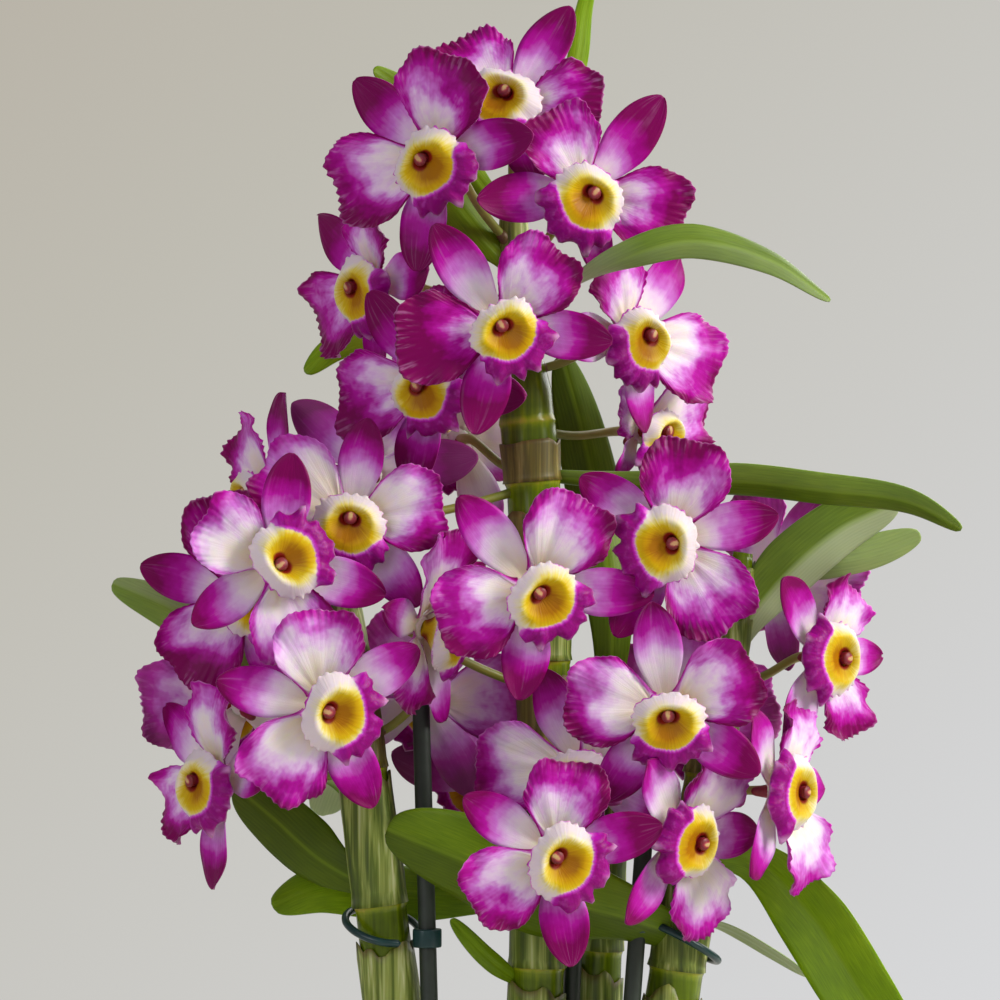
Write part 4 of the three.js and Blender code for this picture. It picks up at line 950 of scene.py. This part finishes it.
# ---- leaves ----------------------------------------------------------------------------------
# each leaf's place and width, the way across its blade at the root and at the tip, and its midrib from the
# cane to the tip. The colour shifts from fresh green: darker as painted shade, for leaves or halves of leaves
# that lie in shadow, and greyer towards the underside's colour, which is the leaf's own where its underside
# shows and painted light on the lit half of the broad leaf.
LEAVES = [
    ("top", 8, [(1, 0.2, -0.4), (0.8, 0.6, -0.3)], [(5, 8, 438), (16, 16, 462), (26, 20, 488),
     (29, 20, 508), (33, 18, 523)], dict(dark=0.1)),
    ("top_left", 11, [(0.3, 0.3, 0.8)], [(3, 8, 436), (-14, 12, 458), (-28, 8, 476), (-42, 4, 486)],
     dict(dark=0.35)),
    ("throat", 15, [(0.7, 0.3, 0.7)], [(3, 4, 420), (-6, 1, 430), (-14, 0, 440), (-20, 0, 447)],
     dict(dark=0.3)),
    ("arching", 11.5, [(0, 1, 0.2), (0.3, -0.6, -1)], [(8, 2, 406), (22, -26, 411), (40, -39, 420),
     (62, -39, 426), (88, -34, 420), (108, -32, 407)], dict(dark=0.55, grey=(0.1, 0.3), root_grey=1.0)),
    ("left_tip", 12, [(0, 0.4, 1), (-0.5, 0.3, 0.9)], [(6, 8, 394), (-14, 28, 400), (-38, 36, 400),
     (-56, 34, 394), (-66, 30, 385)], dict(dark=0.2)),
    ("upright", 20, [(1, 0.15, 0), (0.9, 0.3, 0.3)], [(36, 20, 266), (38, 24, 300), (34, 31, 335),
     (28, 33, 365), (21, 31, 391)], dict(dark=(0.75, 0.55))),
    ("long", 12, [(0, 0.6, -1), (0.2, 0.4, -1)], [(10, 8, 350), (50, 4, 347), (78, -2, 348),
     (106, -8, 345), (135, -14, 341), (152, -18, 332)], dict(dark=(0.4, 0.7), grey=(0.12, 0))),
    # broad leaf: one half darkened as painted shade, the other paled to grey as painted light
    ("broad", 22, [(1, 0.5, -0.6), (0.8, 0.5, -1)], [(76, 0, 289), (84, 1, 303), (97, 2, 318),
     (114, 3, 332), (133, 4, 341)], dict(dark=(0.6, 0.2), grey=(0.08, 1.0))),
    ("broad_behind", 13, [(0.8, 0.2, -1)], [(81, 4, 316), (94, 9, 319), (108, 10, 321), (124, 10, 324),
     (141, 9, 330)], dict(grey=0.55)),
    ("left_far", 16, [(0.3, 0.5, 1)], [(-50, 0, 288), (-74, -5, 289), (-92, -4, 296), (-110, -1, 306),
     (-129, -2, 314)], dict(dark=0.2, grey=(0.2, 0.55))),
    ("left_dark", 21, [(0.8, -0.3, 1)], [(-42, -5, 212), (-60, -2, 222), (-76, 0, 236), (-88, 0, 246)],
     dict(dark=0.8)),
    ("behind_left", 20, [(0.1, 0.5, 1)], [(8, 8, 208), (-16, 14, 209), (-40, 12, 211), (-60, 8, 212),
     (-76, 4, 206)], dict(dark=0.15)),
    ("front", 33, [(0.3, -0.35, 1), (0.5, -0.5, 1)], [(58, -10, 198), (40, -25, 205), (12, -31, 213),
     (-14, -33, 225), (-37, -29, 234)], dict(dark=(0.78, 0.4))),
    ("low_right", 26, [(0.5, -0.4, 0.8), (1, -0.3, 0.7)], [(66, -4, 226), (86, 3, 221), (104, -4, 203),
     (120, -14, 178), (138, -22, 152)], dict(turned=False)),
    ("low_thin", 8, [(0.2, -1, 0.5)], [(62, 0, 203), (76, 8, 199), (92, 10, 190), (104, 10, 182)],
     dict(grey=0.6)),
    ("low_strap", 7, [(0.6, 0.4, 0.6)], [(10, 6, 178), (-4, -8, 190), (-16, -12, 203)], dict(dark=0.3)),
    ("back", 22, [(1, 0, 0)], [(36, 24, 220), (29, 52, 234), (22, 78, 236), (17, 98, 222)], dict(dark=0.2)),
    ("back_low", 20, [(1, 0.3, 0)], [(-40, -2, 232), (-48, 30, 246), (-56, 58, 246), (-62, 78, 232)],
     dict(dark=0.1)),
]


def leaf_share(s):
    beyond = np.clip((s - LEAF_WIDEST) / (1 - LEAF_WIDEST), 0, 1)
    return np.where(s < LEAF_WIDEST, mix(0.4, 1, smooth(s / LEAF_WIDEST)),
                    mix(0.12, 1, np.sqrt(np.maximum(0, 1 - beyond**2.4))))


def leaf(number, place, width, side, path, dark=0.0, grey=0.0, root_grey=0.0, turned=True):
    """A leathery blade folded along its midrib, with a grooved rib and slightly waved margins. The painted
    shade and grey are one number, or one for each half: the first darkens the leaf as painted shade, the
    second pales it towards the underside's colour. turned says which face is the upper one."""
    curve = Path(path)
    s = 1 - (1 - np.linspace(0, 1, 46)) ** 1.25
    t = np.linspace(-1, 1, 15)
    middle, along = curve.at(s), curve.along(s)
    across = mix(np.array(side[0], float), np.array(side[-1], float), s[:, None])
    across = unit(across - along * np.sum(across * along, -1, keepdims=True))
    normal = np.cross(along, across)
    half = (width / 2 * leaf_share(s))[:, None]
    from_rib = half * t
    upwards = -1 if turned else 1
    wave = 0.035 * width * wander(s[:, None] * 4.5 + 3 * (t > 0), number, 1) * np.abs(t) ** 2.5
    groove = 0.4 * upwards * np.exp(-((from_rib / 0.9) ** 2))
    rise = LEAF_FOLD * half * np.abs(t) ** 1.15 - groove + wave
    point = middle[:, None] + across[:, None] * from_rib[..., None] + normal[:, None] * rise[..., None]
    thick = (0.5 * mix(0.85, 0.35, np.abs(t) ** 3) * np.ones_like(rise))[..., None] * normal[:, None]
    rib = (0.3 * np.exp(-((from_rib / 0.8) ** 2)) * (1 - 0.7 * s[:, None]))[..., None] * normal[:, None]
    halves = smooth((t + 0.08) / 0.16)
    # per half: painted shade, and grey that is partly painted light
    dark, grey = (mix(*(tone if np.ndim(tone) else (tone, tone)), halves) for tone in (dark, grey))
    grey = np.maximum(grey + 0 * s[:, None], root_grey * (1 - smooth((s[:, None] - 0.25) / 0.3)))
    skin = Skin("across", "along", "under", "dark", "grey")
    skin.shell(point + thick + (rib if turned else 0), point - thick - (0 if turned else rib), s, (t + 1) / 2,
               turned=turned, across=from_rib, along=s[:, None] * curve.length, dark=dark, grey=grey)
    name = f"leaf_{number:02}_{place}"
    dress(skin.make(f"{name}_blade", [LEAF]), name)


for number, (*facts, more) in enumerate(LEAVES, 1):
    leaf(number, *facts, **more)


# ---- canes and their sheaths -----------------------------------------------------------------
CANE_SIDES = 28
SHEATH_WALL = 0.3
# heights of the joints, and between which heights no sheath is left
JOINTS = {
    "middle": (110, 148, 186, 222, 256, 287, 318, 347, 368, 395, 420),
    "left": (120, 164, 207, 252, 290),
    "right": (115, 150, 186, 219, 250, 280, 305),
    "behind": (112, 150, 190, 230, 255),
}
BARE = {"middle": (367, 400), "right": (219, 230)}
# sheaths of a set length, as a share of the way to the next joint
SHEATH_SHARE = {("left", 1): 0.68, ("left", 2): 0.97}


def cane_rings(cane, shares, joints, extra=0.0):
    """Rings of a cane that swells between its joints, stands out at each, and is ribbed."""
    height = cane["curve"].at(shares)[:, 2]
    away = (shares[:, None] - joints[None, :]) * cane["curve"].length
    nearest = np.abs(away).min(1)
    since = np.min(np.where(away >= -1e-6, away, 1e9), 1)
    swell = 0.35 * np.sin(np.pi * np.clip(since / JOINT_SPACING, 0, 1))
    radius = cane_radius(cane, height) + swell + 0.5 * np.exp(-((nearest / 1.1) ** 2))
    phi = round_angles(CANE_SIDES)
    rib = 0.16 * np.cos(7 * phi + 0.4 * np.sin(height[:, None] / 40)) * np.clip(since / 6, 0, 1)[:, None]
    return rings_along(cane["curve"], shares, radius[:, None] + rib + extra, CANE_SIDES)


def cane(key, facts):
    curve = facts["curve"]
    joints = np.array([curve.share_at_height(z) for z in JOINTS[key]])
    gaps = np.diff(np.append(joints, 1.0))
    fine = np.linspace(0, 1, int(curve.length / 2.6))
    close = (joints[:, None] + np.array([-1.6, -0.8, 0, 0.8, 1.6]) / curve.length).ravel()
    shares = np.unique(np.round(np.clip(np.concatenate([fine, close]), 0, 1), 5))
    skin = Skin("joint", "edge", "under", "green")
    near = np.abs(shares[:, None] - joints[None, :]).min(1) * curve.length
    rings = cane_rings(facts, shares, joints)
    skin.tube(rings, joint=np.exp(-((near / 1.6) ** 2))[:, None])
    phi = round_angles(CANE_SIDES)
    for i, joint in enumerate(joints):
        height = float(curve.at(joint)[2])
        low, high = BARE.get(key, (0, 0))
        if low < height + 8 and height < high:
            continue
        seed = len(key) * 10 + i
        tall = SHEATH_SHARE.get((key, i), 0.8 + 0.16 * float(drawn(seed, 1))) * gaps[i]
        green = smooth(0.5 + 0.6 * float(drawn(seed, 7))) if height > 200 else 0.9
        ragged = 0.09 * wander(phi * 2.4, seed, 2) + 0.16 * np.maximum(0, wander(phi * 0.9, seed, 3)) - 0.06
        ragged = ragged - 0.3 * np.exp(-(((phi - 2.5 - drawn(seed, 4)) / 0.22) ** 2))
        up = np.linspace(0, 1, 10)[:, None]
        where = joint + tall * up * (1 + ragged * up)
        loose = 0.28 + 0.5 * up**2 + 0.35 * up**3 * wander(phi * 1.6, seed, 5)
        rows = []
        for column in range(CANE_SIDES):
            share = np.clip(where[:, column], 0, 0.998)
            rings = cane_rings(facts, share, joints)[:, column]
            centre = curve.at(share)
            rows.append(rings + unit(rings - centre) * loose[:, [column]])
        inner = np.array(rows).transpose(1, 0, 2)
        outer = inner + unit(inner - curve.at(np.clip(where, 0, 0.998))) * SHEATH_WALL
        skin.shell(outer, inner, up[:, 0], np.linspace(0, 1, CANE_SIDES + 1), 1, wrap=True,
                   edge=smooth((up - 0.88) / 0.12) * (0.6 + 0.4 * wander(phi * 3, seed, 6)), green=green)
    dress(skin.make(f"cane_{key}_skin", [CANE, SHEATH]), f"cane_{key}")


for key, facts in CANES.items():
    cane(key, facts)


# ---- stakes and ties -------------------------------------------------------------------------
STAKES = {
    "stake_left": ((-20.5, -14, CANE_FOOT), (-26.5, -9.5, 284)),
    "stake_right": ((36, -13, CANE_FOOT), (49, -14, 248)),
    "stake_back": ((20, 15, CANE_FOOT), (26.5, 10, 236)),
}
TIES = [
    dict(name="tie_left", cane="left", stake="stake_left", height=200, start=-15, sweep=315, high=120,
         rise=5),
    dict(name="tie_right", cane="right", stake="stake_right", height=195, start=212, sweep=290, high=200,
         rise=7),
]
# half a collar's outline: height as a share of half its height, and radius as a share
COLLAR = [(-1, 0.72), (-1, 0.93), (-0.93, 0.985), (-0.8, 1)]


def stake(name, foot, top):
    """A coated rod with a rounded tip."""
    path = Path([foot, top])
    share = np.concatenate([np.linspace(0, 1 - 4 / path.length, 60),
                            1 - np.array([3, 2, 1.2, 0.6, 0.2, 0]) / path.length])
    left = (1 - share) * path.length
    cap = np.sqrt(np.clip(1 - (1 - np.clip(left / STAKE_RADIUS, 0, 1)) ** 2, 0.01, 1))
    skin = Skin("under")
    skin.tube(rings_along(path, share, STAKE_RADIUS * cap, 20))
    dress(skin.make(f"{name}_rod", [STAKE]), name)


def tie(name, cane, stake, height, start, sweep, high, rise):
    """A collar on the stake, and an open ring that hooks round the cane."""
    curve = CANES[cane]["curve"]
    middle = curve.at(curve.share_at_height(height))
    foot, top = (np.array(p, float) for p in STAKES[stake])
    on_stake = mix(foot, top, (height - foot[2]) / (top[2] - foot[2]))
    turn = np.radians(start + sweep * np.linspace(0, 1, 13))
    ring = np.stack([middle[0] + TIE_RING * np.cos(turn), middle[1] + TIE_RING * np.sin(turn),
                     middle[2] + rise * np.cos(turn - math.radians(high))], -1)
    on_stake[2] = ring[0][2]
    path = Path([on_stake, *ring])
    share = np.linspace(0, 1, 90)
    left = np.minimum((1 - share) * path.length / TIE_RADIUS, 1)
    radius = TIE_RADIUS * np.sqrt(np.clip(1 - (1 - left) ** 2, 0.02, 1))
    skin = Skin("under")
    skin.tube(rings_along(path, share, radius, 12))
    rings, around = [], round_angles(32)
    for z, r in COLLAR + [(-z, r) for z, r in COLLAR[::-1]]:
        grip = COLLAR_RADIUS * r * (1 - 0.03 * np.cos(8 * around))
        rings.append(np.stack([on_stake[0] + grip * np.cos(around), on_stake[1] + grip * np.sin(around),
                               on_stake[2] + z * COLLAR_HEIGHT / 2 + 0 * around], -1))
    skin.tube(np.array(rings))
    dress(skin.make(f"{name}_clip", [CLIP]), name)


for name, (foot, top) in STAKES.items():
    stake(name, foot, top)
for facts in TIES:
    tie(**facts)


# ---- pot and bark ----------------------------------------------------------------------------
def pot_radius(z):
    return mix(POT_FOOT_RADIUS, POT_RIM_RADIUS - POT_BAND_STEP, z / POT_HEIGHT)


def round_rings(profile, sides):
    turn = round_angles(sides)
    return np.array([np.stack([r * np.cos(turn), r * np.sin(turn), z + 0 * turn], -1) for r, z in profile])


def pot():
    """A thrown pot with a thick band below its rim, all edges softened by the glaze."""
    band = POT_HEIGHT - POT_BAND
    wall, rim = pot_radius(band), POT_RIM_RADIUS
    inside = [(pot_radius(z) - POT_WALL, z) for z in (108, 100, 80, 50, 20, 9)]
    foot = POT_FOOT_RADIUS
    profile = [(6, 0), (foot - 3, 0), (foot - 1.2, 0), (foot - 0.3, 0.6), (foot, 1.8),
               *((pot_radius(z), z) for z in (4, 20, 40, 60, 80, band - 1.5)),
               (wall + 0.1, band - 0.4), (wall + 0.7, band + 0.2), (wall + POT_BAND_STEP - 0.4, band + 0.9),
               (wall + POT_BAND_STEP, band + 2.2), (rim - 0.35, POT_HEIGHT - 5),
               (rim - 0.1, POT_HEIGHT - 2.4), (rim - 0.5, POT_HEIGHT - 1), (rim - 1.4, POT_HEIGHT - 0.2),
               (rim - 2.6, POT_HEIGHT),
               (rim - 4.4, POT_HEIGHT - 0.3), (rim - 5.6, POT_HEIGHT - 1.6), *inside,
               (pot_radius(POT_FLOOR) - POT_WALL - 2.5, POT_FLOOR), (6, POT_FLOOR)]
    skin = Skin("under")
    skin.tube(round_rings(profile, 112))
    dress(skin.make("pot_glazed", [GLAZE]), "pot")


def chips(ground, reach):
    """Bark chips scattered over the top of the ground by geometry nodes, as one plain mesh."""
    tree = bpy.data.node_groups.new("bark_chips", "GeometryNodeTree")
    wanted = [("Ground", "NodeSocketGeometry", None), ("Chips per m2", "NodeSocketFloat", 70000.0),
              ("Chip length", "NodeSocketFloat", 11 * MM), ("Roughness", "NodeSocketFloat", 2.2 * MM),
              ("Reach", "NodeSocketFloat", reach * MM), ("Seed", "NodeSocketInt", 7)]
    sockets = [tree.interface.new_socket(name=name, in_out="INPUT", socket_type=kind)
               for name, kind, _ in wanted]
    tree.interface.new_socket(name="Bark", in_out="OUTPUT", socket_type="NodeSocketGeometry")
    bed, density, length, roughness, rim, seed, _ = add(tree, "NodeGroupInput")
    # chips lie where the ground faces up, clear of the pot's wall
    facing = add(tree, "ShaderNodeSeparateXYZ", add(tree, "GeometryNodeInputNormal"))["Z"]
    flat = add(tree, "ShaderNodeVectorMath", (add(tree, "GeometryNodeInputPosition"), (1.0, 1.0, 0.0)),
               operation="MULTIPLY")
    away = add(tree, "ShaderNodeVectorMath", flat, operation="LENGTH")["Value"]
    inside = add(tree, "ShaderNodeMath", (away, rim), operation="LESS_THAN")
    upper = add(tree, "ShaderNodeMath", (facing, 0.4), operation="GREATER_THAN")
    spots = add(tree, "GeometryNodeDistributePointsOnFaces", Mesh=bed, Selection=inside * upper,
                Density=density, Seed=seed)
    chip = add(tree, "GeometryNodeMeshCube", Size=(1.0, 0.62, 0.34), Vertices_X=3, Vertices_Y=3, Vertices_Z=2)
    turn, size = (add(tree, "FunctionNodeRandomValue", (low, high), Seed=draw, data_type="FLOAT_VECTOR")
                  for low, high, draw in [((-0.75, -0.75, 0.0), (0.75, 0.75, 6.28), 3),
                                          ((0.6, 0.6, 0.6), (1.25, 1.25, 1.3), 4)])
    size = add(tree, "ShaderNodeVectorMath", size, Scale=length, operation="SCALE")
    placed = add(tree, "GeometryNodeInstanceOnPoints", Points=spots, Instance=chip, Rotation=turn, Scale=size)
    loose = add(tree, "GeometryNodeRealizeInstances", placed)
    both = add(tree, "GeometryNodeJoinGeometry", loose)
    join(tree, bed, both.node.inputs[0])
    rock = add(tree, "ShaderNodeTexNoise", Scale=210, Detail=2)["Color"]
    rock = add(tree, "ShaderNodeVectorMath", (rock, (0.5, 0.5, 0.5)), operation="SUBTRACT")
    rock = add(tree, "ShaderNodeVectorMath", rock, Scale=roughness, operation="SCALE")
    broken = add(tree, "GeometryNodeSetPosition", both, Offset=rock)
    add(tree, "NodeGroupOutput", add(tree, "GeometryNodeSetMaterial", broken, Material=BARK))
    modifier = ground.modifiers.new("chips", "NODES")
    modifier.node_group = tree
    for socket, (_, _, value) in zip(sockets[1:], wanted[1:]):
        modifier[socket.identifier] = value
    bpy.context.view_layer.update()
    seen = ground.evaluated_get(bpy.context.evaluated_depsgraph_get())
    mesh = bpy.data.meshes.new_from_object(seen)
    bpy.data.objects.remove(ground)
    return new_object("bark_chips", mesh)


def bark():
    """The potting mix: a lumpy bed with loose chips over it."""
    radius = pot_radius(BARK_TOP) - POT_WALL - 0.6
    profile = [(radius * k, BARK_TOP - 2 - 3 * k**6) for k in np.linspace(0.06, 1, 16)]
    profile = [(6, BARK_TOP - 14), (radius - 1.2, BARK_TOP - 14), *profile[::-1]]
    rings = round_rings(profile, 44)
    lift = 1.4 * wander(rings[..., 0] / 5, 2) * wander(rings[..., 1] / 5, 3)
    rings[2:, :, 2] += lift[2:]
    skin = Skin("under")
    skin.tube(rings)
    bed = skin.make("bark_bed", [BARK])
    dress(chips(bed, radius - 6), "bark_medium")


pot()
bark()

# ---- stage, light and camera -----------------------------------------------------------------
CAMERA_HEIGHT = 0.3417
CAMERA_DISTANCE = 1.6
FRAME_WIDTH = 1 / 3  # metres seen across, at the plant
SENSOR_WIDTH = 36  # millimetres


def stage_floor():
    """A pale matt floor that fades out at its edge."""
    f = Finish("studio_floor", Roughness=0.9, Base_Color="#CFCCC6")
    away = f.add("VectorMath", f.add("TexCoord")["Object"], operation="LENGTH")["Value"]
    f.link(Alpha=f.add("MapRange", (away, 1.3, 0.5), **SOFT))
    skin = Skin("under")
    top = [(r, 0) for r in (1300, 900, 500, 200, 20)]
    skin.tube(round_rings([(20, -1.2), (1300, -1.2), *top], 64))
    floor = skin.make("floor", [f.material])


def studio_air():
    """Plain warm grey all round: what the camera sees is shaded, what lights the plant is even."""
    world = bpy.data.worlds.new("studio")
    bpy.context.scene.world = world
    world.use_nodes = True
    tree = world.node_tree
    tree.nodes.clear()
    side, _, up = add(tree, "ShaderNodeSeparateXYZ", add(tree, "ShaderNodeTexCoord")["Generated"])
    slope = add(tree, "ShaderNodeMapRange", (up * -0.75 + side * 0.65, -0.16, 0.16))
    shaded = add(tree, "ShaderNodeValToRGB", slope,
                 stops=[(0.0, "#B8B2A6"), (0.25, "#BFBCB2"), (0.6, "#CBCAC6"), (0.8, "#D2D2D2"),
                        (1.0, "#DADBDD")])
    seen = add(tree, "ShaderNodeBackground", (shaded, 1.0))
    light = add(tree, "ShaderNodeBackground", ("#F4F1EE", 0.4))
    to_camera = add(tree, "ShaderNodeLightPath")["Is Camera Ray"]
    add(tree, "ShaderNodeOutputWorld", add(tree, "ShaderNodeMixShader", (to_camera, light, seen)))


def lamp(name, at, aim_height, size, power, colour):
    """A soft round light that points at the plant at this height."""
    data = bpy.data.lights.new(name, "AREA")
    data.shape, data.size, data.energy = "DISK", size, power
    data.color = linear(colour)[:3]
    made = new_object(name, data)
    made.location = at
    made.rotation_euler = (Vector((0, 0, aim_height)) - Vector(at)).to_track_quat("-Z", "Y").to_euler()


def camera():
    data = bpy.data.cameras.new("front")
    data.sensor_width = SENSOR_WIDTH
    data.lens = SENSOR_WIDTH * CAMERA_DISTANCE / FRAME_WIDTH
    data.clip_end = 20
    made = new_object("front", data)
    made.location = (0, -CAMERA_DISTANCE, CAMERA_HEIGHT)
    made.rotation_euler = (math.pi / 2, 0, 0)
    bpy.context.scene.camera = made


stage_floor()
studio_air()
lamp("window", (1.5, -0.55, 1.15), 0.33, 0.9, 36, "#FFFDF6")
lamp("wall_bounce", (-0.9, -1.5, 0.95), 0.32, 1.2, 8, "#F4F4FF")
lamp("back_light", (0.8, 1.2, 1.2), 0.36, 1.8, 22, "#FFFFFF")
camera()
bpy.context.scene.view_settings.view_transform = "Standard"
